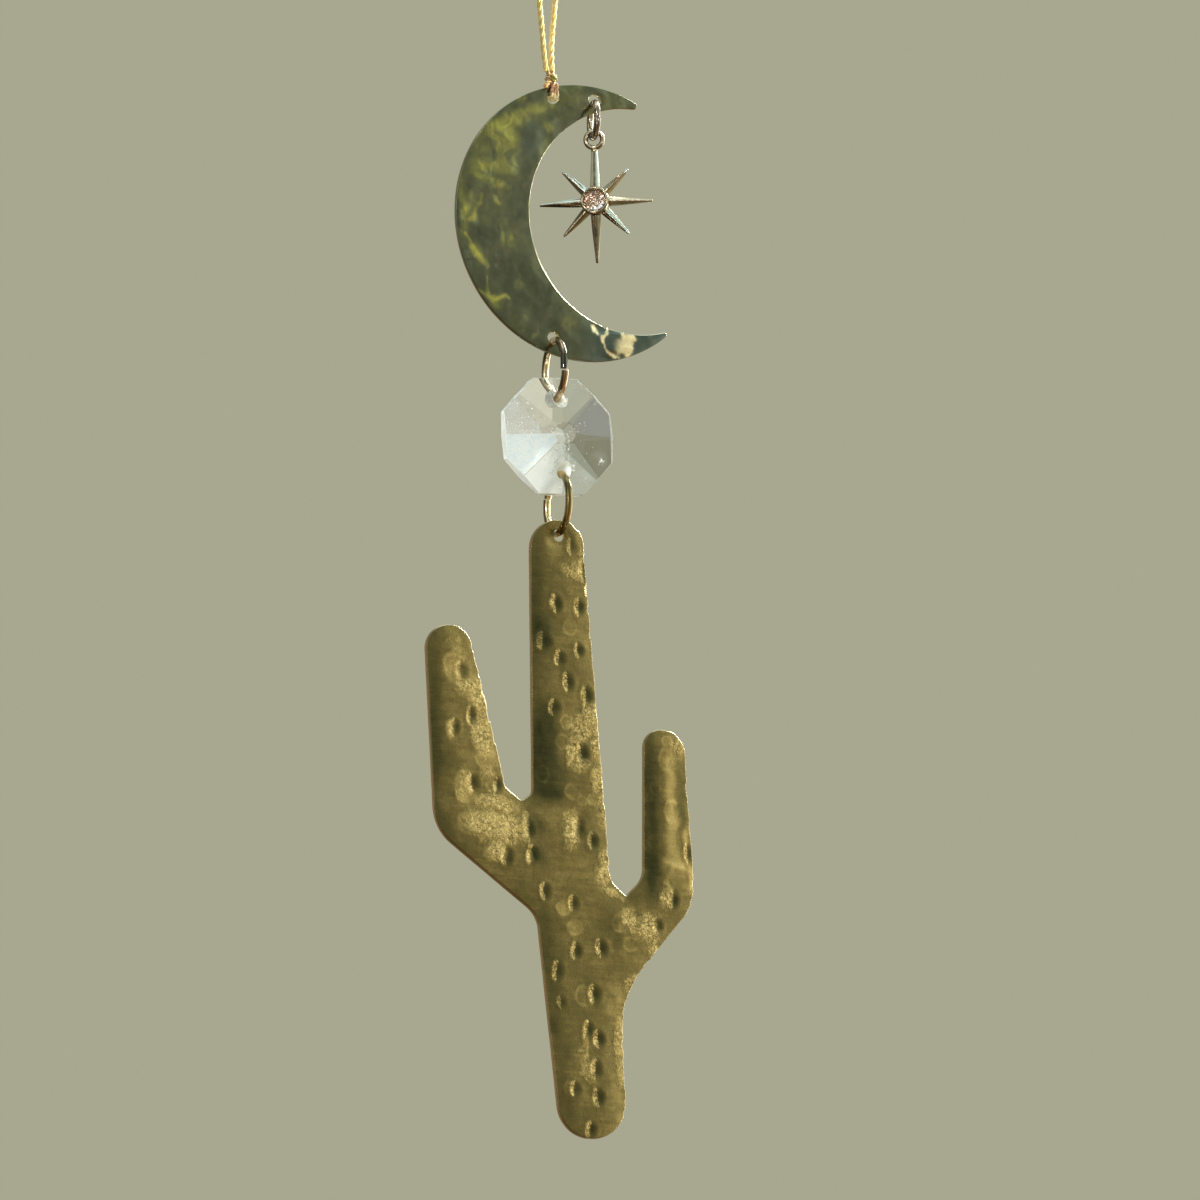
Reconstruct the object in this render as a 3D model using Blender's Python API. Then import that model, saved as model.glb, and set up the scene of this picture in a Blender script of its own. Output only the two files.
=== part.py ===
"""Hanging suncatcher: a hammered brass crescent with a small star charm in its opening, a faceted glass
octagon below it and a hammered brass cactus at the bottom, linked by wire jump rings and hung from a
loop of metallic thread.

Metres, +Z up. The origin is the inner top of the thread loop, where a hook carries the whole thing.
The two sheet metal pieces lie in the XZ plane with their fronts towards -Y.
"""

import math

import bmesh
import bpy
from mathutils import Matrix, Vector

MM = 0.001

# ---------------------------------------------------------------- driving sizes, in millimetres
SHEET = 0.7  # thickness of the brass sheet
HOLE_R = 0.75  # radius of every punched and drilled hole
GAP = 0.06  # clearance left where one link bears on the next

# Thread
THREAD_R = 0.32
LOOP_TOP_R = 2.3  # inside radius of the loop's top, where it lies over a hook
LOOP_HALF_MID = 1.05  # half the distance between the strands, 15 mm below the top
KNOT_SIZE = (0.84, 0.74, 0.74)  # half axes of the knot
KNOT_ABOVE_HOLE = 2.30  # knot's centre above the moon's thread hole

# Moon: two circles, the inner one pushed towards the opening
MOON_C = (4.705, -41.77)
MOON_R = 16.77
MOON_BITE_R = 13.70
MOON_BITE_SHIFT = 6.62
MOON_ROLL = 7.1  # degrees that the opening looks above +X
MOON_TIP_TOP_R = 0.42
MOON_TIP_LOW_R = 0.28
MOON_HOLE_THREAD = (-4.05, 14.84)  # from the moon's centre
MOON_HOLE_STAR = (1.45, 15.06)
MOON_HOLE_LOW = (-3.93, -14.35)

# Jump rings: outside diameter and wire diameter
RING_UP = (7.95, 0.85)
RING_LOW = (8.0, 0.85)
RING_STAR = (5.0, 0.8)
RING_SPLIT = 0.14  # open slit between a ring's two cut ends

# Star charm
STAR_DROP = 7.55  # from the centre of its loop to the centre of the star
STAR_LOOP = (1.0, 0.27)  # centreline radius and wire radius of the loop
STAR_RAYS = (7.3, 5.55, 6.75, 5.55)  # length of the rays: down, low diagonal, sideways, high diagonal
STAR_RAY_HALF = 0.70  # half width of a ray at the bezel
STAR_RAY_DEEP = 0.55  # half depth of a ray at the bezel
STAR_TIP = 0.07
STAR_SWEEP = 0.12  # the rays lean back from the bezel by this share of their length
STAR_YAW = -33.0  # the charm is turned away from the moon's plane
STAR_ROLL = 1.1
BEZEL_R = 1.73
BEZEL_FRONT = 0.95
BEZEL_BACK = 0.60
STONE_R = 1.26
STONE_SEAT_R = 1.34
STONE_SEAT_DEEP = 0.85

# Glass octagon
GLASS_FLATS = 14.0  # across flats
GLASS_HALF = 2.4  # half thickness at the table
GLASS_TABLE = 1.3  # half width of the table
GLASS_CORNER_HALF = 0.36  # half thickness at the corners of the rim
GLASS_HOLE_AT = 4.55  # each hole's distance from the centre
GLASS_ROLL = 3.5

# Cactus. Each side of the outline is a straight line: its name, a point on it from the outline's datum,
# its lean from upright in degrees (clockwise positive, -90 or 90 is level) and the radius of the corner
# between it and the next one, counter-clockwise from the top.
CACTUS_HOLE = (-0.27, 0.0)  # the hanging hole, from the same datum
CACTUS_SIDES = (
    ("trunk_top", (-0.3, 1.84), 90.0, 3.80),
    ("trunk_left", (-3.85, -16.48), -0.63, 0.80),
    ("left_notch_in", (-4.30, -31.90), 52.0, 0.50),
    ("left_notch_out", (-6.20, -31.80), -57.0, 2.20),
    ("left_arm_inner", (-9.42, -22.66), -14.98, 2.75),
    ("left_arm_top", (-14.3, -12.12), 87.0, 3.05),
    ("left_arm_outer", (-17.12, -24.35), -3.27, 5.50),
    ("left_arm_under", (-9.23, -41.77), -55.55, 3.30),
    ("base_left", (-1.64, -57.80), -6.76, 4.10),
    ("base_bottom", (4.0, -72.32), 90.0, 4.70),
    ("base_right", (8.34, -62.77), -3.08, 12.0),
    ("right_arm_under", (13.10, -48.45), 39.02, 6.60),
    ("right_arm_outer", (16.90, -32.97), -4.19, 2.60),
    ("right_arm_top", (13.2, -22.28), 97.0, 2.30),
    ("right_arm_inner", (10.86, -31.68), 0.12, 3.00),
    ("right_notch_out", (9.30, -42.00), 44.0, 0.25),
    ("right_notch_in", (7.65, -42.05), -47.0, 2.00),
    ("trunk_right", (4.70, -20.56), -5.04, 2.90),
)


# ---------------------------------------------------------------- scene and materials
for old in list(bpy.data.objects):
    bpy.data.objects.remove(old)

parts = bpy.data.collections.new("suncatcher")
bpy.context.scene.collection.children.link(parts)
cutters = bpy.data.collections.new("cutters")
bpy.context.scene.collection.children.link(cutters)


def material(name, colour, rough, metal, transmission=0.0):
    made = bpy.data.materials.new(name)
    made.use_nodes = True
    shader = made.node_tree.nodes["Principled BSDF"]
    shader.inputs["Base Color"].default_value = (*colour, 1.0)
    shader.inputs["Roughness"].default_value = rough
    shader.inputs["Metallic"].default_value = metal
    shader.inputs["Transmission Weight"].default_value = transmission
    made.diffuse_color = (*colour, 1.0)
    return made


# ---------------------------------------------------------------- plane geometry
def unit(degrees_from_up):
    a = math.radians(degrees_from_up)
    return Vector((math.sin(a), math.cos(a)))


def cross2(a, b):
    return a.x * b.y - a.y * b.x


def meet(p, u, q, v):
    """Where the line through p along u crosses the line through q along v."""
    return p + u * (cross2(q - p, v) / cross2(u, v))


def arc(centre, radius, start, end, step):
    """Points along an arc, both ends included; angles in degrees, a step is about that long in mm."""
    count = max(2, int(math.ceil(abs(math.radians(end - start)) * radius / step)) + 1)
    return [
        Vector(
            (
                centre[0] + radius * math.cos(math.radians(start + (end - start) * i / (count - 1))),
                centre[1] + radius * math.sin(math.radians(start + (end - start) * i / (count - 1))),
            )
        )
        for i in range(count)
    ]


def rounded(sides, step=0.6):
    """Closed outline of straight sides whose corners are rounded."""
    lines = [(Vector(p), unit(lean), r) for _, p, lean, r in sides]
    corners = [
        (meet(a[0], a[1], b[0], b[1]), a[2])
        for a, b in zip(lines, lines[1:] + lines[:1])
    ]
    points = []
    for i, (corner, radius) in enumerate(corners):
        before, after = corners[i - 1][0], corners[(i + 1) % len(corners)][0]
        a, b = (before - corner).normalized(), (after - corner).normalized()
        half = a.angle(b) / 2
        reach = radius / math.tan(half)
        start, end = corner + a * reach, corner + b * reach
        centre = corner + (a + b).normalized() * (radius / math.sin(half))
        s, e = start - centre, end - centre
        turn = math.atan2(cross2(s, e), s.dot(e))
        count = max(3, int(math.ceil(abs(turn) * radius / step)) + 1)
        for k in range(count):
            t = turn * k / (count - 1)
            c, n = math.cos(t), math.sin(t)
            points.append(centre + Vector((s.x * c - s.y * n, s.x * n + s.y * c)))
    return points


def hole(centre, radius=HOLE_R, count=24):
    return [
        Vector(
            (
                centre[0] + radius * math.cos(2 * math.pi * i / count),
                centre[1] + radius * math.sin(2 * math.pi * i / count),
            )
        )
        for i in range(count)
    ]


def crescent(step=0.8):
    """Outline of the moon about its centre: outer circle, inner circle and a small round at each tip."""
    lean = math.radians(MOON_ROLL)
    bite = Vector((MOON_BITE_SHIFT * math.cos(lean), MOON_BITE_SHIFT * math.sin(lean)))
    ends = []
    for radius, side in ((MOON_TIP_TOP_R, 1.0), (MOON_TIP_LOW_R, -1.0)):
        # a tip circle touches the outer circle from inside and the inner circle from outside
        far, near = MOON_R - radius, MOON_BITE_R + radius
        along = (MOON_BITE_SHIFT**2 + far**2 - near**2) / (2 * MOON_BITE_SHIFT)
        across = side * math.sqrt(far**2 - along**2)
        axis = bite.normalized()
        ends.append((axis * along + Vector((-axis.y, axis.x)) * across, radius))
    (top, top_r), (low, low_r) = ends

    def angle(v):
        return math.degrees(math.atan2(v.y, v.x))

    outer_from, outer_to = angle(top), angle(low) + 360.0
    inner_from, inner_to = angle(low - bite), angle(top - bite)
    points = arc((0, 0), MOON_R, outer_from, outer_to, step)
    points += arc(low, low_r, outer_to, angle(bite - low) + 360.0, 0.2)[1:-1]
    points += arc(bite, MOON_BITE_R, inner_from + 360.0, inner_to, step)
    points += arc(top, top_r, angle(bite - top) + 360.0, outer_from + 360.0, 0.2)[1:-1]
    return points


# ---------------------------------------------------------------- makers
def place(obj, mat, smooth=False):
    obj.data.materials.clear()
    obj.data.materials.append(mat)
    for c in list(obj.users_collection):
        c.objects.unlink(obj)
    parts.objects.link(obj)
    if smooth and obj.type == "MESH":
        obj.data.shade_smooth()
        obj.data.set_sharp_from_angle(angle=math.radians(35))
    return obj


def sheet(name, loops, at, mat):
    """A flat piece of sheet: the first loop is its outline and the others are its holes."""
    curve = bpy.data.curves.new(name, "CURVE")
    curve.dimensions = "2D"
    curve.fill_mode = "BOTH"
    curve.extrude = SHEET / 2 * MM
    for loop in loops:
        spline = curve.splines.new("POLY")
        spline.points.add(len(loop) - 1)
        for point, p in zip(spline.points, loop):
            point.co = (p.x * MM, p.y * MM, 0.0, 1.0)
        spline.use_cyclic_u = True
    obj = bpy.data.objects.new(name, curve)
    obj.rotation_euler = (math.pi / 2, 0, 0)
    obj.location = (at[0] * MM, 0, at[1] * MM)
    return place(obj, mat)


def wire(name, points, radius, mat, resolution=2):
    """A round wire or tube along points in millimetres, with closed ends."""
    curve = bpy.data.curves.new(name, "CURVE")
    curve.dimensions = "3D"
    curve.bevel_depth = radius * MM
    curve.bevel_resolution = resolution
    curve.use_fill_caps = True
    spline = curve.splines.new("POLY")
    spline.points.add(len(points) - 1)
    for point, p in zip(spline.points, points):
        point.co = (*(Vector(p) * MM), 1.0)
    obj = bpy.data.objects.new(name, curve)
    return place(obj, mat)


def split_ring(name, size, centre, yaw, lean, slit_at, mat):
    """A round wire ring with a slit. It stands upright across the sheet: yaw turns it about Z, lean tips it."""
    radius = (size[0] - size[1]) / 2
    slit = RING_SPLIT / radius
    count = 57
    turn = Matrix.Rotation(math.radians(yaw), 3, "Z") @ Matrix.Rotation(math.radians(lean), 3, "Y")
    points = []
    for i in range(count):
        a = math.radians(slit_at) + slit / 2 + (2 * math.pi - slit) * i / (count - 1)
        points.append(Vector(centre) + turn @ Vector((0, radius * math.cos(a), radius * math.sin(a))))
    return wire(name, points, size[1] / 2, mat)


def smooth_path(knots, closed_step=0.55):
    """Points on a smooth curve through the given points, about evenly spaced."""
    knots = [Vector(k) for k in knots]
    padded = [knots[0] * 2 - knots[1], *knots, knots[-1] * 2 - knots[-2]]
    fine = []
    for i in range(1, len(padded) - 2):
        p0, p1, p2, p3 = padded[i - 1 : i + 3]
        for k in range(24):
            t = k / 24
            fine.append(
                0.5
                * (
                    2 * p1
                    + (p2 - p0) * t
                    + (2 * p0 - 5 * p1 + 4 * p2 - p3) * t * t
                    + (3 * p1 - p0 - 3 * p2 + p3) * t**3
                )
            )
    fine.append(knots[-1])
    total = sum((b - a).length for a, b in zip(fine, fine[1:]))
    count = int(round(total / closed_step))
    out, gone, i = [fine[0]], 0.0, 0
    for k in range(1, count):
        want = total * k / count
        while gone + (fine[i + 1] - fine[i]).length < want:
            gone += (fine[i + 1] - fine[i]).length
            i += 1
        part = (want - gone) / (fine[i + 1] - fine[i]).length
        out.append(fine[i].lerp(fine[i + 1], part))
    out.append(fine[-1])
    return out


def boolean(obj, other, operation):
    mod = obj.modifiers.new(operation.lower(), "BOOLEAN")
    mod.operation = operation
    mod.solver = "EXACT"
    mod.object = other
    other.hide_render = True
    other.display_type = "WIRE"
    for c in list(other.users_collection):
        c.objects.unlink(other)
    cutters.objects.link(other)


def mesh_object(name, bm):
    mesh = bpy.data.meshes.new(name)
    bm.to_mesh(mesh)
    bm.free()
    obj = bpy.data.objects.new(name, mesh)
    bpy.context.scene.collection.objects.link(obj)
    return obj


def rod(name, radius, low, high, across, segments=24):
    """A round rod along Y between two depths, its axis at (x, z) = across."""
    bm = bmesh.new()
    bmesh.ops.create_cone(
        bm, cap_ends=True, segments=segments, radius1=radius * MM, radius2=radius * MM, depth=(high - low) * MM
    )
    bm.transform(
        Matrix.Translation(Vector((across[0], (low + high) / 2, across[1])) * MM)
        @ Matrix.Rotation(math.pi / 2, 4, "X")
    )
    return mesh_object(name, bm)


# ---------------------------------------------------------------- materials
moon_brass = material("moon_brass", (0.36, 0.35, 0.15), 0.22, 1.0)
cactus_brass = material("cactus_brass", (0.50, 0.42, 0.20), 0.38, 1.0)
ring_brass = material("ring_brass", (0.55, 0.38, 0.17), 0.20, 1.0)
charm_metal = material("charm_metal", (0.48, 0.46, 0.38), 0.22, 1.0)
stone_glass = material("stone_glass", (0.93, 0.72, 0.62), 0.05, 0.0, 0.6)
clear_glass = material("clear_glass", (0.95, 0.97, 0.96), 0.02, 0.0, 1.0)
gold_thread = material("gold_thread", (0.85, 0.60, 0.18), 0.40, 0.6)

# ---------------------------------------------------------------- moon
moon_holes = (MOON_HOLE_THREAD, MOON_HOLE_STAR, MOON_HOLE_LOW)
sheet("moon_crescent", [crescent()] + [hole(h) for h in moon_holes], MOON_C, moon_brass)
thread_hole, star_hole, low_hole = (
    Vector((MOON_C[0] + h[0], 0.0, MOON_C[1] + h[1])) for h in moon_holes
)


def sag(radius, away):
    """How far a circle of that radius has dropped, that far from its top."""
    return radius - math.sqrt(radius**2 - away**2)


# ---------------------------------------------------------------- upper ring
up_r, up_w = (RING_UP[0] - RING_UP[1]) / 2, RING_UP[1] / 2
up_top = low_hole.z - HOLE_R + up_w + sag(up_r, SHEET / 2) + GAP
up_centre = Vector((low_hole.x + 0.26, 0.0, up_top - up_r))
split_ring("upper_ring", RING_UP, up_centre, -6.8, -1.5, 191.0, ring_brass)

# ---------------------------------------------------------------- glass octagon
# It hangs with the top edge of its upper hole on the ring, and the lower ring bears on its lower hole.
slope = (GLASS_HALF - GLASS_CORNER_HALF) / (GLASS_FLATS / 2 / math.cos(math.pi / 8) - GLASS_TABLE)


def glass_half(r, toward=0.0):
    """Half thickness of the octagon, that far out along the middle of a side."""
    return GLASS_HALF - slope * (r * math.cos(math.pi / 8 - toward) - GLASS_TABLE)


mouth = glass_half(GLASS_HOLE_AT + HOLE_R)
lift = HOLE_R - up_w - sag(up_r, mouth) - up_w * (1 / math.cos(math.asin(mouth / up_r)) - 1) - GAP
roll = math.radians(GLASS_ROLL)
glass_top_hole = Vector((up_centre.x - 0.02, 0.0, up_top - 2 * up_r - lift))
glass_centre = glass_top_hole + Vector((math.sin(roll), 0.0, -math.cos(roll))) * GLASS_HOLE_AT
glass_low_hole = glass_centre * 2 - glass_top_hole

bm = bmesh.new()
for side in (-1.0, 1.0):
    for i in range(8):
        middle = math.pi / 4 * i  # middle of a flat
        corner = middle + math.pi / 8
        for r, a, y in (
            (GLASS_TABLE / math.cos(math.pi / 8), middle, GLASS_HALF),
            (GLASS_FLATS / 2, middle, glass_half(GLASS_FLATS / 2)),
            (GLASS_FLATS / 2 / math.cos(math.pi / 8), corner, GLASS_CORNER_HALF),
        ):
            bm.verts.new(Vector((r * math.cos(a), side * y, r * math.sin(a))) * MM)
made = bmesh.ops.convex_hull(bm, input=list(bm.verts))
bmesh.ops.dissolve_limit(bm, angle_limit=math.radians(0.4), verts=list(bm.verts), edges=list(bm.edges))
bmesh.ops.recalc_face_normals(bm, faces=list(bm.faces))
glass = place(mesh_object("crystal_octagon", bm), clear_glass)
for key, at in (("glass_hole_top", GLASS_HOLE_AT), ("glass_hole_low", -GLASS_HOLE_AT)):
    drill = rod(key, HOLE_R, -4.0, 4.0, (0.0, at))
    boolean(glass, drill, "DIFFERENCE")
    drill.parent = glass
glass.rotation_euler = (0, -roll, 0)
glass.location = glass_centre * MM

# ---------------------------------------------------------------- lower ring
low_r, low_w = (RING_LOW[0] - RING_LOW[1]) / 2, RING_LOW[1] / 2
lift = HOLE_R - low_w - sag(low_r, mouth) - low_w * (1 / math.cos(math.asin(mouth / low_r)) - 1) - GAP
low_top = glass_low_hole.z + lift
low_centre = Vector((glass_low_hole.x - 0.13, 0.0, low_top - low_r))
split_ring("lower_ring", RING_LOW, low_centre, -4.3, -0.4, 20.0, ring_brass)

# ---------------------------------------------------------------- cactus
cactus_hole = Vector(
    (
        low_centre.x + 0.02,
        0.0,
        low_centre.z - low_r - (HOLE_R - low_w - sag(low_r, SHEET / 2) - GAP),
    )
)
cactus_at = (cactus_hole.x - CACTUS_HOLE[0], cactus_hole.z - CACTUS_HOLE[1])
sheet("cactus", [rounded(CACTUS_SIDES), hole(CACTUS_HOLE)], cactus_at, cactus_brass)

# ---------------------------------------------------------------- star's ring and star charm
star_r, star_w = (RING_STAR[0] - RING_STAR[1]) / 2, RING_STAR[1] / 2
star_top = star_hole.z - HOLE_R + star_w + sag(star_r, SHEET / 2) + GAP
star_ring_centre = Vector((star_hole.x - 0.02, 0.0, star_top - star_r))
split_ring("star_ring", RING_STAR, star_ring_centre, -13.8, 0.0, 185.0, ring_brass)

loop_r, loop_w = STAR_LOOP
loop_centre = Vector(
    (
        star_ring_centre.x + 0.05,
        0.0,
        star_ring_centre.z - star_r + star_w + sag(star_r, loop_w) + GAP - (loop_r - loop_w),
    )
)

bm = bmesh.new()
bmesh.ops.create_cone(
    bm,
    cap_ends=True,
    segments=32,
    radius1=BEZEL_R * MM,
    radius2=BEZEL_R * MM * 0.94,
    depth=(BEZEL_FRONT + BEZEL_BACK) * MM,
)
bm.transform(
    Matrix.Translation(Vector((0, (BEZEL_BACK - BEZEL_FRONT) / 2, 0)) * MM) @ Matrix.Rotation(math.pi / 2, 4, "X")
)
star = place(mesh_object("star_charm", bm), charm_metal)


def ray(name, length, angle, end, sweep):
    """One spike: a four-sided taper with a ridge on its front and back. angle 0 points down."""
    low = 0.45  # starts inside the bezel
    made = bmesh.new()
    bmesh.ops.create_cone(
        made, cap_ends=True, segments=4, radius1=1.0, radius2=end / STAR_RAY_HALF, depth=(length - low) * MM
    )
    made.transform(Matrix.Diagonal((STAR_RAY_HALF * MM, STAR_RAY_DEEP * MM, 1.0, 1.0)))
    made.transform(Matrix.Translation((0, 0, (length + low) / 2 * MM)))
    lean = Matrix.Identity(4)
    lean[1][2] = sweep
    made.transform(lean)
    made.transform(Matrix.Rotation(math.radians(180.0 + angle), 4, "Y"))
    return mesh_object(name, made)


for k in range(8):
    reach, end = STAR_RAYS[min(k, 8 - k)] if k != 4 else STAR_DROP - loop_r, STAR_TIP
    spike = ray(f"ray_{k}", reach, 45.0 * k, *((end, STAR_SWEEP) if k != 4 else (0.40, 0.0)))
    boolean(star, spike, "UNION")
    spike.parent = star

bpy.ops.mesh.primitive_torus_add(
    major_radius=loop_r * MM, minor_radius=loop_w * MM, major_segments=28, minor_segments=10
)
loop = bpy.context.object
loop.name = "charm_loop"
loop.data.transform(
    Matrix.Translation((0, 0, STAR_DROP * MM)) @ Matrix.Rotation(math.pi / 2, 4, "X") @ Matrix.Diagonal((1, 1, 1.25, 1))
)
boolean(star, loop, "UNION")
loop.parent = star
seat = rod("stone_seat", STONE_SEAT_R, -3.0, -(BEZEL_FRONT - STONE_SEAT_DEEP), (0.0, 0.0), 32)
boolean(star, seat, "DIFFERENCE")
seat.parent = star

star_turn = Matrix.Rotation(math.radians(STAR_YAW), 4, "Z") @ Matrix.Rotation(math.radians(-STAR_ROLL), 4, "Y")
star_centre = loop_centre + star_turn.to_3x3() @ Vector((0, 0, -STAR_DROP))
star.matrix_world = Matrix.Translation(star_centre * MM) @ star_turn

# The stone: a round brilliant set in the bezel, table forward
bm = bmesh.new()
rows = []
for depth, radius, count, offset in (
    (-0.98, 0.70, 16, 0.0),
    (-0.66, STONE_R, 16, 0.0),
    (-0.56, STONE_R, 16, 0.0),
    (-0.17, 0.30, 16, 0.0),
):
    rows.append(
        [
            bm.verts.new(
                Vector(
                    (
                        radius * math.cos(2 * math.pi * (i + offset) / count),
                        depth,
                        radius * math.sin(2 * math.pi * (i + offset) / count),
                    )
                )
                * MM
            )
            for i in range(count)
        ]
    )
for a, b in zip(rows, rows[1:]):
    for i in range(len(a)):
        bm.faces.new((a[i], a[(i + 1) % len(a)], b[(i + 1) % len(a)], b[i]))
bm.faces.new(rows[0])
bm.faces.new(rows[-1])
bmesh.ops.recalc_face_normals(bm, faces=list(bm.faces))
stone = place(mesh_object("star_stone", bm), stone_glass)
stone.matrix_world = Matrix.Translation(star_centre * MM) @ star_turn

# ---------------------------------------------------------------- thread
knot_centre = Vector((thread_hole.x - 0.12, -0.12, thread_hole.z + KNOT_ABOVE_HOLE))
bm = bmesh.new()
bmesh.ops.create_uvsphere(bm, u_segments=20, v_segments=12, radius=MM)
bm.transform(Matrix.Diagonal((*KNOT_SIZE, 1.0)))
knot = place(mesh_object("thread_knot", bm), gold_thread, smooth=True)
knot.location = knot_centre * MM

# the bight: down in front of the moon's rim, back through the hole and up behind
room = THREAD_R + 0.1
edge = HOLE_R - 0.02
half = SHEET / 2
bight = []
front_top = Vector((knot_centre.x - thread_hole.x, -half - room + 0.08, KNOT_ABOVE_HOLE - KNOT_SIZE[2] + 0.02))
back_top = Vector((front_top.x, half + room - 0.02, front_top.z))
bight.append(front_top)
bight.append(Vector((0.0, -half - room, edge + 0.25)))
for k in range(5):
    a = math.radians(180.0 + 90.0 * k / 4)
    bight.append(Vector((0.0, -half + room * math.cos(a), edge + room * math.sin(a))))
for k in range(5):
    a = math.radians(270.0 + 90.0 * k / 4)
    bight.append(Vector((0.0, half + room * math.cos(a), edge + room * math.sin(a))))
bight.append(Vector((0.0, half + room, edge + 0.25)))
bight.append(back_top)
wire("thread_bight", [thread_hole + p for p in bight], THREAD_R, gold_thread)

# the loop: up from the knot, round the top and back to the knot
foot = knot_centre.z + KNOT_SIZE[2] + 0.10
top = THREAD_R  # the loop's inside is at Z = 0 at the top
turn_z = top - (LOOP_TOP_R + THREAD_R)
route = []
for side in (-1.0, 1.0):
    leg = [
        Vector((knot_centre.x - 0.30 + side * 0.37, knot_centre.y, foot)),
        Vector((0.02 + side * 0.50, -0.06, foot + 2.6)),
        Vector((side * LOOP_HALF_MID, 0.0, -15.1)),
        Vector((side * (LOOP_TOP_R + THREAD_R) * 0.78, 0.0, turn_z - 4.2)),
        Vector((side * (LOOP_TOP_R + THREAD_R) * 0.985, 0.0, turn_z - 0.9)),
        Vector((side * (LOOP_TOP_R + THREAD_R) * 0.94, 0.0, turn_z + (LOOP_TOP_R + THREAD_R) * 0.36)),
        Vector((side * (LOOP_TOP_R + THREAD_R) * 0.58, 0.0, turn_z + (LOOP_TOP_R + THREAD_R) * 0.82)),
    ]
    route += leg + [Vector((0.0, 0.0, top))] if side < 0 else leg[::-1]
wire("thread_loop", smooth_path(route, 0.85), THREAD_R, gold_thread)
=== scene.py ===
"""Looks of the hanging suncatcher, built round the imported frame.

Sizes are in millimetres and are turned into metres where a mesh is made. The origin is the inner top of
the thread loop, +Z is up, the sheets' fronts face -Y.
"""

import math

import bmesh
import bpy
import numpy as np
from mathutils import Matrix, Vector
from mathutils.geometry import delaunay_2d_cdt
from mathutils.kdtree import KDTree


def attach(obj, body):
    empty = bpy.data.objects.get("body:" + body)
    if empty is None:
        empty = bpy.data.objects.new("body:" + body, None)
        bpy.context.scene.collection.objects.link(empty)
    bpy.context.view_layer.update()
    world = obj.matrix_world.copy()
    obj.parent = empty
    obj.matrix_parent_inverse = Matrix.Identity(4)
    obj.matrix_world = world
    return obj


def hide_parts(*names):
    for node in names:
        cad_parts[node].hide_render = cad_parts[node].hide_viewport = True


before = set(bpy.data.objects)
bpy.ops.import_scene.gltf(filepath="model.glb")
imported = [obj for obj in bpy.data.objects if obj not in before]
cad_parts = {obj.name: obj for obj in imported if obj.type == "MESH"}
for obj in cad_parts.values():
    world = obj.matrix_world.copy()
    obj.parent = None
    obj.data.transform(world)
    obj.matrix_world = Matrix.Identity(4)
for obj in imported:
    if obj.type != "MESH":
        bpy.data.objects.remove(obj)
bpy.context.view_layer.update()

MM = 0.001

# ---------------------------------------------------------------- sizes the frame was made with
SHEET = 0.7
HOLE_R = 0.75
GAP = 0.06
THREAD_R = 0.32
LOOP_TOP_R = 2.3
LOOP_HALF_MID = 1.05
KNOT_ABOVE_HOLE = 2.30
KNOT_HALF = 0.74
MOON_C = (4.705, -41.77)
MOON_R = 16.77
MOON_BITE_R = 13.70
MOON_BITE_SHIFT = 6.62
MOON_ROLL = 7.1
MOON_TIP_TOP_R = 0.42
MOON_TIP_LOW_R = 0.28
MOON_HOLES = ((-4.05, 14.84), (1.45, 15.06), (-3.93, -14.35))
RING_UP = (7.95, 0.85)
RING_LOW = (8.0, 0.85)
RING_STAR = (5.0, 0.8)
STAR_DROP = 7.55
STAR_LOOP = (1.0, 0.27)
STAR_RAYS = (7.3, 5.55, 6.75, 5.55)
STAR_RAY_HALF = 0.70
STAR_RAY_DEEP = 0.55
STAR_TIP = 0.07
STAR_SWEEP = 0.12
STAR_YAW = -33.0
STAR_ROLL = 1.1
BEZEL_R = 1.73
BEZEL_FRONT = 0.95
BEZEL_BACK = 0.60
STONE_R = 1.26
GLASS_FLATS = 14.0
GLASS_HALF = 2.4
GLASS_TABLE = 1.3
GLASS_CORNER_HALF = 0.36
GLASS_HOLE_AT = 4.55
GLASS_ROLL = 3.5
CACTUS_HOLE = (-0.27, 0.0)
CACTUS_SIDES = (
    ("trunk_top", (-0.3, 1.84), 90.0, 3.80),
    ("trunk_left", (-3.85, -16.48), -0.63, 0.80),
    ("left_notch_in", (-4.30, -31.90), 52.0, 0.50),
    ("left_notch_out", (-6.20, -31.80), -57.0, 2.20),
    ("left_arm_inner", (-9.42, -22.66), -14.98, 2.75),
    ("left_arm_top", (-14.3, -12.12), 87.0, 3.05),
    ("left_arm_outer", (-17.12, -24.35), -3.27, 5.50),
    ("left_arm_under", (-9.23, -41.77), -55.55, 3.30),
    ("base_left", (-1.64, -57.80), -6.76, 4.10),
    ("base_bottom", (4.0, -72.32), 90.0, 4.70),
    ("base_right", (8.34, -62.77), -3.08, 12.0),
    ("right_arm_under", (13.10, -48.45), 39.02, 6.60),
    ("right_arm_outer", (16.90, -32.97), -4.19, 2.60),
    ("right_arm_top", (13.2, -22.28), 97.0, 2.30),
    ("right_arm_inner", (10.86, -31.68), 0.12, 3.00),
    ("right_notch_out", (9.30, -42.00), 44.0, 0.25),
    ("right_notch_in", (7.65, -42.05), -47.0, 2.00),
    ("trunk_right", (4.70, -20.56), -5.04, 2.90),
)


# ---------------------------------------------------------------- camera
def direction(azimuth, elevation):
    """Unit vector towards that azimuth (0 is -Y, 90 is +X) and elevation, in degrees."""
    a, e = math.radians(azimuth), math.radians(elevation)
    return Vector((math.sin(a) * math.cos(e), -math.cos(a) * math.cos(e), math.sin(e)))


LOOK_AT = Vector((6.965, 0.0, -87.23)) * MM
FRAME_WIDE = 142.0 * MM  # what the frame spans at the object
DISTANCE = 3.3

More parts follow.
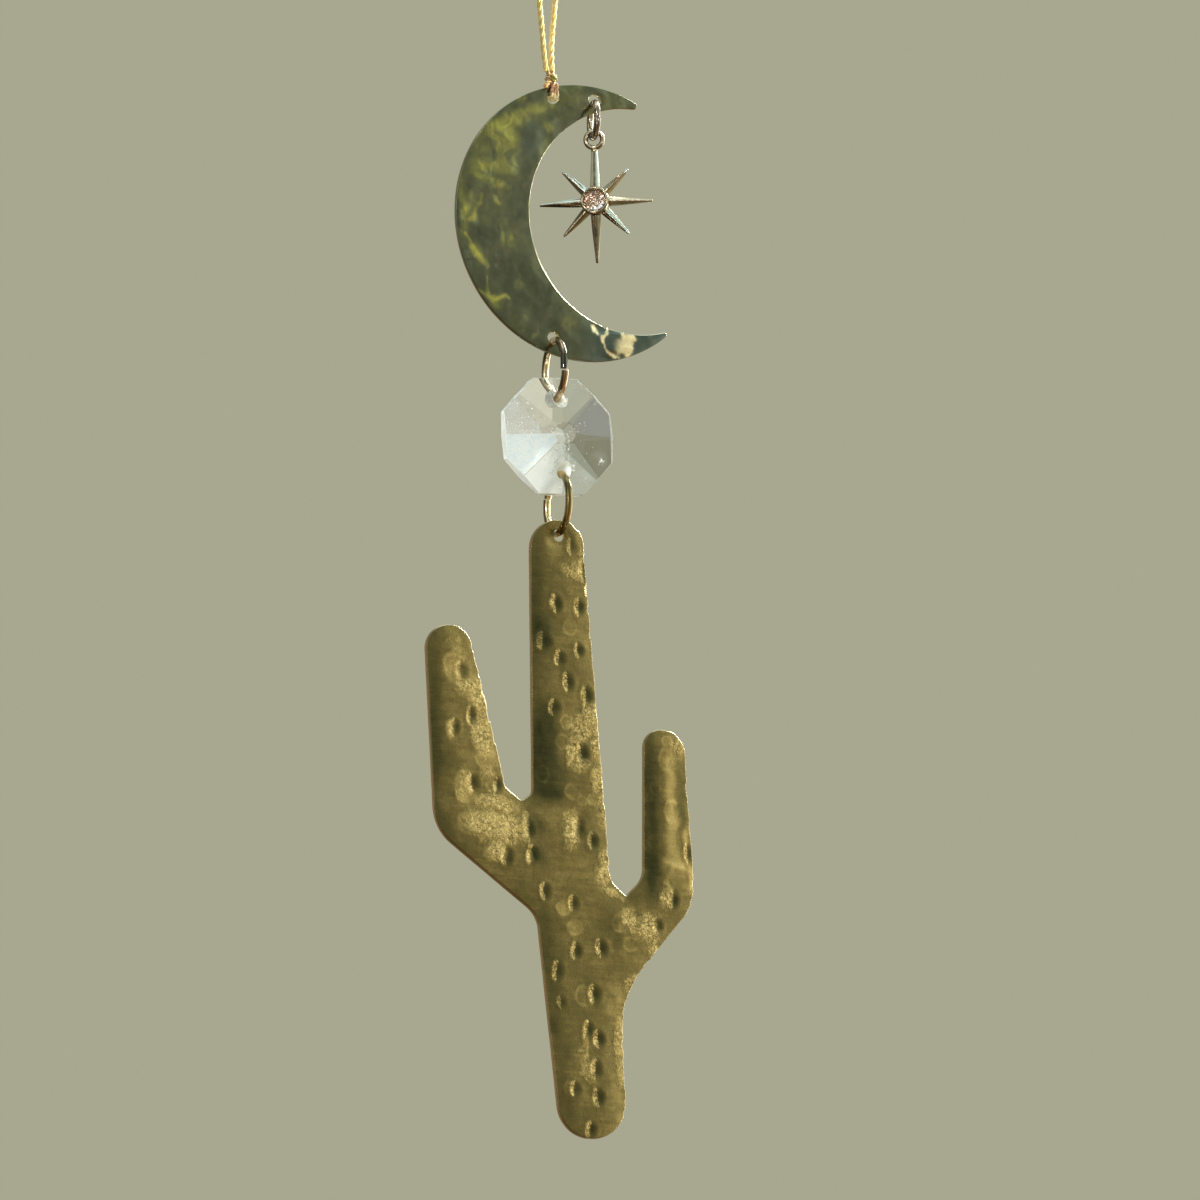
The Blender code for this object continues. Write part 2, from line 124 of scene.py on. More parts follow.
camera = bpy.data.objects.new("camera", bpy.data.cameras.new("camera"))
bpy.context.scene.collection.objects.link(camera)
back = direction(-25.8, -12.0)
camera.location = LOOK_AT + back * DISTANCE
camera.rotation_mode = "QUATERNION"
camera.rotation_quaternion = (-back).to_track_quat("-Z", "Y")
camera.data.sensor_width = 36.0
camera.data.lens = 36.0 * DISTANCE / FRAME_WIDE
camera.data.clip_start, camera.data.clip_end = 0.05, 20.0
bpy.context.scene.camera = camera

# ---------------------------------------------------------------- where the pieces are
moon_c = Vector((MOON_C[0], 0.0, MOON_C[1]))
thread_hole, star_hole, low_hole = (Vector((MOON_C[0] + h[0], 0.0, MOON_C[1] + h[1])) for h in MOON_HOLES)


def sag(radius, away):
    """How far a circle of that radius has dropped, that far from its top."""
    return radius - math.sqrt(radius**2 - away**2)


up_r, up_w = (RING_UP[0] - RING_UP[1]) / 2, RING_UP[1] / 2
up_top = low_hole.z - HOLE_R + up_w + sag(up_r, SHEET / 2) + GAP
up_centre = Vector((low_hole.x + 0.26, 0.0, up_top - up_r))

slope = (GLASS_HALF - GLASS_CORNER_HALF) / (GLASS_FLATS / 2 / math.cos(math.pi / 8) - GLASS_TABLE)


def glass_half(r):
    """Half thickness of the octagon, that far out along the middle of a side."""
    return GLASS_HALF - slope * (r * math.cos(math.pi / 8) - GLASS_TABLE)


mouth = glass_half(GLASS_HOLE_AT + HOLE_R)


def ring_lift(radius, wire):
    return HOLE_R - wire - sag(radius, mouth) - wire * (1 / math.cos(math.asin(mouth / radius)) - 1) - GAP


glass_roll = math.radians(GLASS_ROLL)
glass_top_hole = Vector((up_centre.x - 0.02, 0.0, up_top - 2 * up_r - ring_lift(up_r, up_w)))
glass_centre = glass_top_hole + Vector((math.sin(glass_roll), 0.0, -math.cos(glass_roll))) * GLASS_HOLE_AT
glass_low_hole = glass_centre * 2 - glass_top_hole

low_r, low_w = (RING_LOW[0] - RING_LOW[1]) / 2, RING_LOW[1] / 2
low_top = glass_low_hole.z + ring_lift(low_r, low_w)
low_centre = Vector((glass_low_hole.x - 0.13, 0.0, low_top - low_r))
cactus_hole = Vector(
    (low_centre.x + 0.02, 0.0, low_centre.z - low_r - (HOLE_R - low_w - sag(low_r, SHEET / 2) - GAP))
)
cactus_at = Vector((cactus_hole.x - CACTUS_HOLE[0], 0.0, cactus_hole.z - CACTUS_HOLE[1]))

star_r, star_w = (RING_STAR[0] - RING_STAR[1]) / 2, RING_STAR[1] / 2
star_top = star_hole.z - HOLE_R + star_w + sag(star_r, SHEET / 2) + GAP
star_ring_centre = Vector((star_hole.x - 0.02, 0.0, star_top - star_r))
loop_r, loop_w = STAR_LOOP
loop_centre = Vector(
    (
        star_ring_centre.x + 0.05,
        0.0,
        star_ring_centre.z - star_r + star_w + sag(star_r, loop_w) + GAP - (loop_r - loop_w),
    )
)
star_turn = Matrix.Rotation(math.radians(STAR_YAW), 4, "Z") @ Matrix.Rotation(math.radians(-STAR_ROLL), 4, "Y")
star_centre = loop_centre + star_turn.to_3x3() @ Vector((0, 0, -STAR_DROP))
knot_centre = Vector((thread_hole.x - 0.12, -0.12, thread_hole.z + KNOT_ABOVE_HOLE))


# ---------------------------------------------------------------- plane geometry, as in the frame
def unit(degrees_from_up):
    a = math.radians(degrees_from_up)
    return Vector((math.sin(a), math.cos(a)))


def cross2(a, b):
    return a.x * b.y - a.y * b.x


def meet(p, u, q, v):
    return p + u * (cross2(q - p, v) / cross2(u, v))


def arc(centre, radius, start, end, step):
    count = max(2, int(math.ceil(abs(math.radians(end - start)) * radius / step)) + 1)
    return [
        Vector(
            (
                centre[0] + radius * math.cos(math.radians(start + (end - start) * i / (count - 1))),
                centre[1] + radius * math.sin(math.radians(start + (end - start) * i / (count - 1))),
            )
        )
        for i in range(count)
    ]


def rounded(sides, step):
    lines = [(Vector(p), unit(lean), r) for _, p, lean, r in sides]
    corners = [(meet(a[0], a[1], b[0], b[1]), a[2]) for a, b in zip(lines, lines[1:] + lines[:1])]
    points = []
    for i, (corner, radius) in enumerate(corners):
        before, after = corners[i - 1][0], corners[(i + 1) % len(corners)][0]
        a, b = (before - corner).normalized(), (after - corner).normalized()
        half = a.angle(b) / 2
        reach = radius / math.tan(half)
        start, end = corner + a * reach, corner + b * reach
        centre = corner + (a + b).normalized() * (radius / math.sin(half))
        s, e = start - centre, end - centre
        turn = math.atan2(cross2(s, e), s.dot(e))
        count = max(3, int(math.ceil(abs(turn) * radius / step)) + 1)
        for k in range(count):
            t = turn * k / (count - 1)
            c, n = math.cos(t), math.sin(t)
            points.append(centre + Vector((s.x * c - s.y * n, s.x * n + s.y * c)))
    return points


def crescent(step):
    lean = math.radians(MOON_ROLL)
    bite = Vector((MOON_BITE_SHIFT * math.cos(lean), MOON_BITE_SHIFT * math.sin(lean)))
    ends = []
    for radius, side in ((MOON_TIP_TOP_R, 1.0), (MOON_TIP_LOW_R, -1.0)):
        far, near = MOON_R - radius, MOON_BITE_R + radius
        along = (MOON_BITE_SHIFT**2 + far**2 - near**2) / (2 * MOON_BITE_SHIFT)
        across = side * math.sqrt(far**2 - along**2)
        axis = bite.normalized()
        ends.append((axis * along + Vector((-axis.y, axis.x)) * across, radius))
    (top, top_r), (low, low_radius) = ends

    def angle(v):
        return math.degrees(math.atan2(v.y, v.x))

    outer_from, outer_to = angle(top), angle(low) + 360.0
    inner_from, inner_to = angle(low - bite), angle(top - bite)
    points = arc((0, 0), MOON_R, outer_from, outer_to, step)
    points += arc(low, low_radius, outer_to, angle(bite - low) + 360.0, step / 2)[1:-1]
    points += arc(bite, MOON_BITE_R, inner_from + 360.0, inner_to, step)
    points += arc(top, top_r, angle(bite - top) + 360.0, outer_from + 360.0, step / 2)[1:-1]
    return points


def evenly(points, step):
    """The closed outline again, with points about that far apart, as an array."""
    p = np.array([(q[0], q[1]) for q in points], float)
    p = np.vstack([p, p[:1]])
    gone = np.concatenate([[0.0], np.cumsum(np.linalg.norm(np.diff(p, axis=0), axis=1))])
    keep = np.concatenate([[True], np.diff(gone) > 1e-9])
    p, gone = p[keep], gone[keep]
    count = max(8, int(round(gone[-1] / step)))
    want = np.linspace(0, gone[-1], count, endpoint=False)
    return np.stack([np.interp(want, gone, p[:, 0]), np.interp(want, gone, p[:, 1])], 1)


def smooth_path(knots, closed_step=0.55):
    """Points on a smooth curve through the given points, about evenly spaced."""
    knots = [Vector(k) for k in knots]
    padded = [knots[0] * 2 - knots[1], *knots, knots[-1] * 2 - knots[-2]]
    fine = []
    for i in range(1, len(padded) - 2):
        p0, p1, p2, p3 = padded[i - 1 : i + 3]
        for k in range(24):
            t = k / 24
            fine.append(
                0.5
                * (
                    2 * p1
                    + (p2 - p0) * t
                    + (2 * p0 - 5 * p1 + 4 * p2 - p3) * t * t
                    + (3 * p1 - p0 - 3 * p2 + p3) * t**3
                )
            )
    fine.append(knots[-1])
    total = sum((b - a).length for a, b in zip(fine, fine[1:]))
    count = int(round(total / closed_step))
    out, gone, i = [fine[0]], 0.0, 0
    for k in range(1, count):
        want = total * k / count
        while gone + (fine[i + 1] - fine[i]).length < want:
            gone += (fine[i + 1] - fine[i]).length
            i += 1
        part = (want - gone) / (fine[i + 1] - fine[i]).length
        out.append(fine[i].lerp(fine[i + 1], part))
    out.append(fine[-1])
    return out


# ---------------------------------------------------------------- fields over the sheets, in arrays
def smooth01(t):
    t = np.clip(t, 0.0, 1.0)
    return t * t * (3 - 2 * t)


def field(x, y, scale, seed):
    """Smooth noise from about -1 to 1 whose features are `scale` mm apart."""
    table = np.random.default_rng(seed).uniform(-1.0, 1.0, (128, 128))
    u, v = x / scale + 640.37, y / scale + 640.71
    iu, iv = np.floor(u).astype(int), np.floor(v).astype(int)
    fu, fv = u - iu, v - iv
    su, sv = fu**3 * (fu * (fu * 6 - 15) + 10), fv**3 * (fv * (fv * 6 - 15) + 10)
    a = table[iu % 128, iv % 128]
    b = table[(iu + 1) % 128, iv % 128]
    c = table[iu % 128, (iv + 1) % 128]
    d = table[(iu + 1) % 128, (iv + 1) % 128]
    return 1.4 * (a * (1 - su) * (1 - sv) + b * su * (1 - sv) + c * (1 - su) * sv + d * su * sv)


def layered(x, y, scale, seed, layers=3):
    total, weight = 0.0, 0.0
    for k in range(layers):
        w = 0.5**k
        total = total + w * field(x, y, scale / 2**k, seed + k)
        weight += w
    return total / weight


def blob(x, y, cx, cy, rx, ry, turn=0.0, hard=1.0):
    """1 at the centre of an oval, fading to 0 outside it."""
    a = math.radians(turn)
    dx, dy = x - cx, y - cy
    u = (dx * math.cos(a) + dy * math.sin(a)) / rx
    v = (-dx * math.sin(a) + dy * math.cos(a)) / ry
    return np.exp(-((u * u + v * v) ** hard))


def stroke(x, z, points, width, soft=0.6):
    """1 on a line through the given (x, z, half width factor) points, fading to 0 beside it."""
    best = np.full_like(x, 1e9)
    for (x0, z0, w0), (x1, z1, w1) in zip(points, points[1:]):
        dx, dz = x1 - x0, z1 - z0
        t = np.clip(((x - x0) * dx + (z - z0) * dz) / (dx * dx + dz * dz), 0, 1)
        d = np.hypot(x - x0 - t * dx, z - z0 - t * dz) / (width * (w0 + (w1 - w0) * t))
        best = np.minimum(best, d)
    return 1 - smooth01((best - (1 - soft)) / (2 * soft))


# ---------------------------------------------------------------- makers
def new_object(name, mesh):
    obj = bpy.data.objects.new(name, mesh)
    bpy.context.scene.collection.objects.link(obj)
    return obj


def finish_piece(obj, mats, slot, *nodes):
    picks = [p.material_index for p in obj.data.polygons]
    obj.data.materials.clear()
    for m in mats if isinstance(mats, (list, tuple)) else [mats]:
        obj.data.materials.append(m)
    obj.data.polygons.foreach_set("material_index", picks)
    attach(obj, "root")
    if nodes:
        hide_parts(*nodes)
    return obj


def inside(points, loop):
    """Which points are inside the closed loop."""
    x, y = points[:, 0], points[:, 1]
    result = np.zeros(len(points), bool)
    a, b = loop, np.roll(loop, -1, 0)
    for (x0, y0), (x1, y1) in zip(a, b):
        if y0 == y1:
            continue
        crosses = (y0 > y) != (y1 > y)
        result ^= crosses & (x < (x1 - x0) * (y - y0) / (y1 - y0) + x0)
    return result


def away_from(points, tree):
    return np.array([tree.find((p[0], p[1], 0.0))[2] for p in points])


def plate(name, outline, holes, spacing, relief, tones, rim_glint_at, edge_round=0.11):
    """A hammered sheet: both faces, a rounded rim and the walls of its holes.

    relief(x, z, away) gives how far each face's skin stands out, front and back; tones(x, z, away) gives
    named values for each point that the material reads; the last function, of x and z, gives how much painted highlight
    the rim gets there."""
    rows = (0.0, 0.022, 0.055, 0.095, 0.15)
    loops = [evenly(outline, spacing * 0.62)] + [evenly(h[::-1], spacing * 0.45) for h in holes]
    tree = KDTree(sum(len(l) * 4 for l in loops))
    for loop in loops:
        nxt = np.roll(loop, -1, 0)
        for k in range(4):
            for p in loop + (nxt - loop) * (k / 4):
                tree.insert((p[0], p[1], 0.0), 0)
    tree.balance()

    # polish collects the painted highlight along the rim, for each point
    rings, points, polish = [], [], []
    for loop in loops:
        ahead, behind = np.roll(loop, -1, 0), np.roll(loop, 1, 0)
        along = ahead - behind
        along /= np.linalg.norm(along, axis=1)[:, None]
        left = np.stack([-along[:, 1], along[:, 0]], 1)
        # painted highlight on the rim where it faces right and up, towards the light
        bright = smooth01((0.05 - 0.65 * left[:, 0] - 0.60 * left[:, 1]) / 0.45) * (loop is loops[0]) * rim_glint_at(loop[:, 0], loop[:, 1])
        for k, d in enumerate(rows):
            ring = loop + left * d
            rim_glint_row = bright * (1.0 if d < 0.06 else 0.0)
            if k == 0:
                rings.append((len(points), len(loop)))
            else:
                kept = away_from(ring, tree) > d * 0.93
                ring, rim_glint_row = ring[kept], rim_glint_row[kept]
            points.extend(map(tuple, ring))
            polish.extend(rim_glint_row)
    lo, hi = loops[0].min(0), loops[0].max(0)
    rise = spacing * math.sqrt(3) / 2
    nx, nz = int((hi[0] - lo[0]) / spacing) + 2, int((hi[1] - lo[1]) / rise) + 2
    grid = np.array([(lo[0] + (i + 0.5 * (j % 2)) * spacing, lo[1] + j * rise) for j in range(nz) for i in range(nx)])
    keep = inside(grid, loops[0])
    grid = grid[keep]
    for loop in loops[1:]:
        grid = grid[~inside(grid, loop)]
    grid = grid[away_from(grid, tree) > rows[-1] + spacing * 0.55]
    points.extend(map(tuple, grid))
    edges = [(start + i, start + (i + 1) % count) for start, count in rings for i in range(count)]
    made = delaunay_2d_cdt([Vector(p) for p in points], edges, [], 1, 1e-7, True)
    flat = np.array([(p.x, p.y) for p in made[0]])
    tris = np.array([f for f in made[2]], int)
    origin = [o[0] if o else -1 for o in made[3]]
    polish = np.array([polish[o] if 0 <= o < len(polish) else 0.0 for o in origin])
    where = {}
    for i, o in enumerate(origin):
        where.setdefault(o, i)
    middle = flat[tris].mean(1)
    keep = inside(middle, loops[0])
    for loop in loops[1:]:
        keep &= ~inside(middle, loop)
    tris = tris[keep]
    # counter-clockwise seen from the front
    a, b, c = flat[tris[:, 0]], flat[tris[:, 1]], flat[tris[:, 2]]
    area = (b[:, 0] - a[:, 0]) * (c[:, 1] - a[:, 1]) - (b[:, 1] - a[:, 1]) * (c[:, 0] - a[:, 0])
    tris[area < 0] = tris[area < 0][:, ::-1]
    tris = tris[np.abs(area) > 1e-9]

    away = away_from(flat, tree)
    x, z = flat[:, 0], flat[:, 1]
    near = np.clip(1 - away / edge_round, 0, 1)
    drop = edge_round * (1 - np.sqrt(np.clip(1 - near**2, 0, 1)))
    front, rear = relief(x, z, away)
    half = SHEET / 2
    y_front = -(half + front) + drop
    y_rear = (half + rear) - drop
    count = len(flat)
    verts = np.concatenate([np.stack([x, y_front, z], 1), np.stack([x, y_rear, z], 1)]) * MM
    faces = tris.tolist() + (tris[:, ::-1] + count).tolist()
    values = tones(x, z, away)
    values = {k: np.concatenate([v, v]) for k, v in values.items()}
    extra = []
    walls = 3
    base = 2 * count
    for start, length in rings:
        ids = [where[start + i] for i in range(length)]
        row = [ids]
        for w in range(1, walls):
            t = w / walls
            here = []
            for i in ids:
                here.append(base + len(extra))
                extra.append((i, t))
            row.append(here)
        row.append([i + count for i in ids])
        for r0, r1 in zip(row, row[1:]):
            for i in range(length):
                j = (i + 1) % length
                faces.append((r0[i], r1[i], r1[j], r0[j]))
    more = np.array([verts[i] * (1 - t) + verts[i + count] * t for i, t in extra])
    verts = np.concatenate([verts, more])
    source = np.array([i for i, _ in extra])
    values = {k: np.concatenate([v, v[source]]) for k, v in values.items()}
    # the painted highlight along the rim, on both faces, none on the hole walls
    values["painted_rim_glint"] = np.concatenate([polish, polish, np.zeros(len(extra))])
    values["cut"] = np.concatenate([np.where(away < 0.02, 0.6, 0.0)] * 2 + [np.ones(len(extra))])
    mesh = bpy.data.meshes.new(name)
    mesh.from_pydata(verts.tolist(), [], faces)
    mesh.update()
    for key, v in values.items():
        mesh.attributes.new(key, "FLOAT", "POINT").data.foreach_set("value", v.astype(np.float32))
    mesh.shade_smooth()
    return new_object(name, mesh)


def frames_along(points, closed=False):
    """Unit tangents and two normals at each point, turned as little as possible along the way."""
    p = np.array(points, float)
    t = np.gradient(p, axis=0)
    t /= np.linalg.norm(t, axis=1)[:, None]
    start = np.cross(t[0], (0.0, 1.0, 0.0))
    if np.linalg.norm(start) < 1e-3:
        start = np.cross(t[0], (1.0, 0.0, 0.0))
    n = [start / np.linalg.norm(start)]
    for i in range(1, len(p)):
        v = n[-1] - t[i] * (n[-1] @ t[i])
        n.append(v / np.linalg.norm(v))
    n = np.array(n)
    return p, t, n, np.cross(t, n)


def tube(points, radius, sides, into=None, end_round=0.0):
    """Vertices and faces of a closed tube along points; radius is one number or one for each point."""
    p, t, n, b = frames_along(points)
    r = np.broadcast_to(np.asarray(radius, float), (len(p),)).copy()
    if end_round > 0:
        # a cut end with a small bevel: an extra ring in front of each end
        p = np.vstack([p[:1], p[:1] + t[:1] * end_round, p[1:-1], p[-1:] - t[-1:] * end_round, p[-1:]])
        r = np.concatenate([r[:1] - end_round, r[:1], r[1:-1], r[-1:], r[-1:] - end_round])
        n = np.vstack([n[:1], n[:1], n[1:-1], n[-1:], n[-1:]])
        b = np.vstack([b[:1], b[:1], b[1:-1], b[-1:], b[-1:]])
    a = 2 * np.pi * np.arange(sides) / sides
    ring = np.cos(a)[None, :, None] * n[:, None, :] + np.sin(a)[None, :, None] * b[:, None, :]
    verts = (p[:, None, :] + r[:, None, None] * ring).reshape(-1, 3)
    faces = []
    for i in range(len(p) - 1):
        for k in range(sides):
            j = (k + 1) % sides
            faces.append((i * sides + k, i * sides + j, (i + 1) * sides + j, (i + 1) * sides + k))
    faces.append(tuple(range(sides))[::-1])
    last = (len(p) - 1) * sides
    faces.append(tuple(range(last, last + sides)))
    return verts, faces


def mesh_from(name, parts, smooth=True, sharp=None):
    """One object from several closed shells given as (vertices in mm, faces)."""
    verts, faces = [], []
    for v, f in parts:
        base = len(verts)
        verts.extend((np.asarray(v) * MM).tolist())
        faces.extend(tuple(i + base for i in face) for face in f)
    mesh = bpy.data.meshes.new(name)
    mesh.from_pydata(verts, [], faces)
    mesh.update()
    bm = bmesh.new()
    bm.from_mesh(mesh)
    bmesh.ops.recalc_face_normals(bm, faces=list(bm.faces))
    bm.to_mesh(mesh)
    bm.free()
    if smooth:
        mesh.shade_smooth()
        if sharp:
            mesh.set_sharp_from_angle(angle=math.radians(sharp))
    return new_object(name, mesh)


# ---------------------------------------------------------------- materials
def shader(name):
    made = bpy.data.materials.new(name)
    made.use_nodes = True
    tree = made.node_tree
    return made, tree, tree.nodes["Principled BSDF"]


def node(tree, kind, **props):
    made = tree.nodes.new(kind)
    for k, v in props.items():
        setattr(made, k, v)
    return made


def ramp(tree, stops, source, smooth=False):
    made = node(tree, "ShaderNodeValToRGB")
    if smooth:
        made.color_ramp.interpolation = "EASE"
    stops = list(stops)
    elements = made.color_ramp.elements
    while len(elements) < len(stops):
        elements.new(0.5)
    for e, (at, colour) in zip(elements, stops):
        e.position = at
        e.color = (*colour, 1.0) if len(colour) == 3 else colour
    tree.links.new(source, made.inputs[0])
    return made.outputs[0]


def grey(v):
    return (v, v, v)


def mm_coords(tree, scale=(1.0, 1.0, 1.0), turn=(0.0, 0.0, 0.0)):
    """Object coordinates in millimetres."""
    coords = node(tree, "ShaderNodeTexCoord")
    mapping = node(tree, "ShaderNodeMapping")
    mapping.inputs["Scale"].default_value = tuple(1000.0 * s for s in scale)
    mapping.inputs["Rotation"].default_value = turn
    tree.links.new(coords.outputs["Object"], mapping.inputs["Vector"])
    return mapping.outputs[0]


def noise(tree, coords, scale, detail=3.0, rough=0.5, distortion=0.0):
    made = node(tree, "ShaderNodeTexNoise")
    made.inputs["Scale"].default_value = scale
    made.inputs["Detail"].default_value = detail
    made.inputs["Roughness"].default_value = rough
    made.inputs["Distortion"].default_value = distortion
    tree.links.new(coords, made.inputs["Vector"])
    return made.outputs[0]


def cells(tree, coords, scale, feature="F1", output="Distance"):
    n = node(tree, "ShaderNodeTexVoronoi", feature=feature)
    n.inputs["Scale"].default_value = scale
    tree.links.new(coords, n.inputs["Vector"])
    return n.outputs[output]


def shaken(tree, coords, scale, amount):
    """The same coordinates pushed about by noise, for ragged cells."""
    n = node(tree, "ShaderNodeTexNoise")
    n.inputs["Scale"].default_value = scale
    n.inputs["Detail"].default_value = 3.0
    tree.links.new(coords, n.inputs["Vector"])
    push = node(tree, "ShaderNodeVectorMath", operation="MULTIPLY_ADD")
    tree.links.new(n.outputs["Color"], push.inputs[0])
    push.inputs[1].default_value = (amount, amount, amount)
    tree.links.new(coords, push.inputs[2])
    return push.outputs["Vector"]


def attribute(tree, name):
    made = node(tree, "ShaderNodeAttribute")
    made.attribute_name = name
    return made.outputs["Fac"]


def maths(tree, operation, a, b=None, clamp=False):
    made = node(tree, "ShaderNodeMath", operation=operation, use_clamp=clamp)
    for socket, v in ((made.inputs[0], a), (made.inputs[1], b)):
        if v is None:
            continue
        if isinstance(v, (int, float)):
            socket.default_value = v
        else:
            tree.links.new(v, socket)
    return made.outputs[0]


def mix(tree, factor, a, b, blend="MIX"):
    made = node(tree, "ShaderNodeMix", data_type="RGBA", blend_type=blend)
    for socket, v in ((made.inputs[0], factor), (made.inputs[6], a), (made.inputs[7], b)):
        if isinstance(v, (int, float)):
            socket.default_value = v
        elif isinstance(v, tuple):
            socket.default_value = (*v, 1.0)
        else:
            tree.links.new(v, socket)
    return made.outputs[2]


def bump(tree, height, distance, strength=1.0, after=None):
    made = node(tree, "ShaderNodeBump")
    made.inputs["Strength"].default_value = strength
    made.inputs["Distance"].default_value = distance * MM
    tree.links.new(height, made.inputs["Height"])
    if after is not None:
        tree.links.new(after, made.inputs["Normal"])
    return made.outputs[0]


def make_moon_brass():
    made, t, s = shader("moon_brass")
    mm = mm_coords(t)
    tone, gold, cut, teal, painted_rim_glint = (attribute(t, k) for k in ("tone", "gold", "cut", "teal", "painted_rim_glint"))
    cloudy = noise(t, mm, 0.9, 5.0, 0.62, 0.8)
    wander = maths(t, "MULTIPLY", maths(t, "SUBTRACT", cloudy, 0.5), 0.34)
    level = maths(t, "ADD", tone, wander, clamp=True)
    # the ramp turns the tone into painted reflections, from dark to light
    colour = ramp(
        t,
        [
            (0.00, (0.120, 0.140, 0.105)),
            (0.20, (0.190, 0.212, 0.150)),
            (0.40, (0.300, 0.325, 0.165)),
            (0.65, (0.470, 0.480, 0.190)),
            (1.00, (0.800, 0.800, 0.230)),
        ],
        level,
    )
    shade = ramp(t, [(0.0, (0.150, 0.205, 0.215)), (0.5, (0.270, 0.350, 0.350)), (1.0, (0.55, 0.62, 0.50))], level)
    colour = mix(t, maths(t, "MULTIPLY", teal, 0.85), colour, shade)
    stain = noise(t, mm, 0.5, 3.0, 0.5, 0.3)
    colour = mix(t, ramp(t, [(0.58, grey(0.0)), (0.82, grey(0.30))], stain), colour, (0.36, 0.27, 0.15))
    # painted gold reflection on the lower horn's bright facets
    mirror = ramp(t, [(0.36, (0.92, 0.73, 0.45)), (0.52, (1.0, 0.93, 0.68))], noise(t, mm, 1.8, 4.0, 0.6, 0.6))
    colour = mix(t, gold, colour, mirror)
    split = node(t, "ShaderNodeSeparateXYZ")
    t.links.new(mm, split.inputs[0])
    reach = maths(t, "ADD", maths(t, "MULTIPLY", split.outputs["X"], split.outputs["X"]), maths(t, "MULTIPLY", split.outputs["Z"], split.outputs["Z"]))
    around = maths(t, "MULTIPLY", maths(t, "SUBTRACT", reach, 250.0), 0.1, clamp=True)
    edge = mix(t, around, (0.80, 0.64, 0.38), (0.36, 0.31, 0.17))
    colour = mix(t, cut, colour, edge)
    # painted highlight where the rim faces the light
    colour = mix(t, painted_rim_glint, colour, (1.0, 0.90, 0.68))
    t.links.new(colour, s.inputs["Base Color"])
    s.inputs["Metallic"].default_value = 1.0
    fine = noise(t, mm, 5.0, 4.0, 0.6)
    rough = maths(t, "ADD", maths(t, "MULTIPLY", fine, 0.12), 0.12)
    rough = maths(t, "ADD", rough, maths(t, "MULTIPLY", cut, 0.12))
    t.links.new(rough, s.inputs["Roughness"])
    scratch = noise(t, mm_coords(t, (0.9, 1.0, 6.0), (0.0, 0.5, 0.0)), 1.6, 3.0, 0.6)
    n = bump(t, fine, 0.004, 0.5)
    n = bump(t, scratch, 0.004, 0.4, n)
    t.links.new(n, s.inputs["Normal"])
    return made


def make_cactus_brass():
    made, t, s = shader("cactus_brass")
    mm = mm_coords(t)
    tone, cut, grain, painted_rim_glint = (attribute(t, k) for k in ("tone", "cut", "grain", "painted_rim_glint"))
    cloudy = noise(t, mm, 0.6, 5.0, 0.6, 0.4)
    fine = noise(t, mm, 3.0, 4.0, 0.7, 1.0)
    ragged = shaken(t, mm, 2.4, 0.55)
    # leathery skin: small ragged cells, each a little lighter or darker, with dark cracks between
    cell = cells(t, ragged, 3.4, output="Color")
    crack = ramp(t, [(0.0, grey(0.0)), (0.10, grey(1.0))], cells(t, ragged, 1.9, "DISTANCE_TO_EDGE"))
    brushed = noise(t, mm_coords(t, (0.14, 1.0, 5.0), (0.0, 0.06, 0.0)), 1.2, 3.0, 0.6)
    skin = maths(t, "ADD", maths(t, "MULTIPLY", maths(t, "SUBTRACT", cell, 0.5), 0.42), maths(t, "MULTIPLY", maths(t, "SUBTRACT", fine, 0.5), 0.9))
    skin = maths(t, "SUBTRACT", skin, maths(t, "MULTIPLY", maths(t, "SUBTRACT", 1.0, crack), 0.26))
    wander = maths(t, "MULTIPLY", maths(t, "SUBTRACT", cloudy, 0.5), 0.18)
    speck = maths(t, "MULTIPLY", skin, maths(t, "ADD", maths(t, "MULTIPLY", grain, 0.90), 0.10))
    lines = maths(t, "MULTIPLY", maths(t, "SUBTRACT", brushed, 0.5), 0.11)
    level = maths(t, "ADD", maths(t, "ADD", tone, wander), maths(t, "ADD", speck, lines))
    level = maths(t, "ADD", level, maths(t, "MULTIPLY", grain, 0.08), clamp=True)
    # the tone carries painted highlights and painted shade as well as the sheet's own colour
    colour = ramp(
        t,
        [
            (0.00, (0.060, 0.070, 0.034)),
            (0.20, (0.145, 0.135, 0.062)),
            (0.44, (0.310, 0.250, 0.106)),
            (0.66, (0.680, 0.532, 0.225)),
            (0.86, (1.000, 0.820, 0.400)),
        ],
        level,
    )
    colour = mix(t, cut, colour, (0.56, 0.36, 0.17))
    # painted highlight where the rim faces the light
    colour = mix(t, maths(t, "MULTIPLY", painted_rim_glint, 0.8), colour, (1.0, 0.88, 0.60))
    t.links.new(colour, s.inputs["Base Color"])
    s.inputs["Metallic"].default_value = 1.0
    rough = maths(t, "ADD", maths(t, "MULTIPLY", fine, 0.16), 0.20)
    rough = maths(t, "ADD", rough, maths(t, "MULTIPLY", grain, 0.08))
    t.links.new(rough, s.inputs["Roughness"])
    pebbles = maths(t, "MULTIPLY", maths(t, "ADD", fine, maths(t, "MULTIPLY", crack, 0.25)), maths(t, "ADD", maths(t, "MULTIPLY", grain, 0.9), 0.10))
    n = bump(t, pebbles, 0.14, 1.0)
    n = bump(t, brushed, 0.012, 0.6, n)
    t.links.new(n, s.inputs["Normal"])
    return made


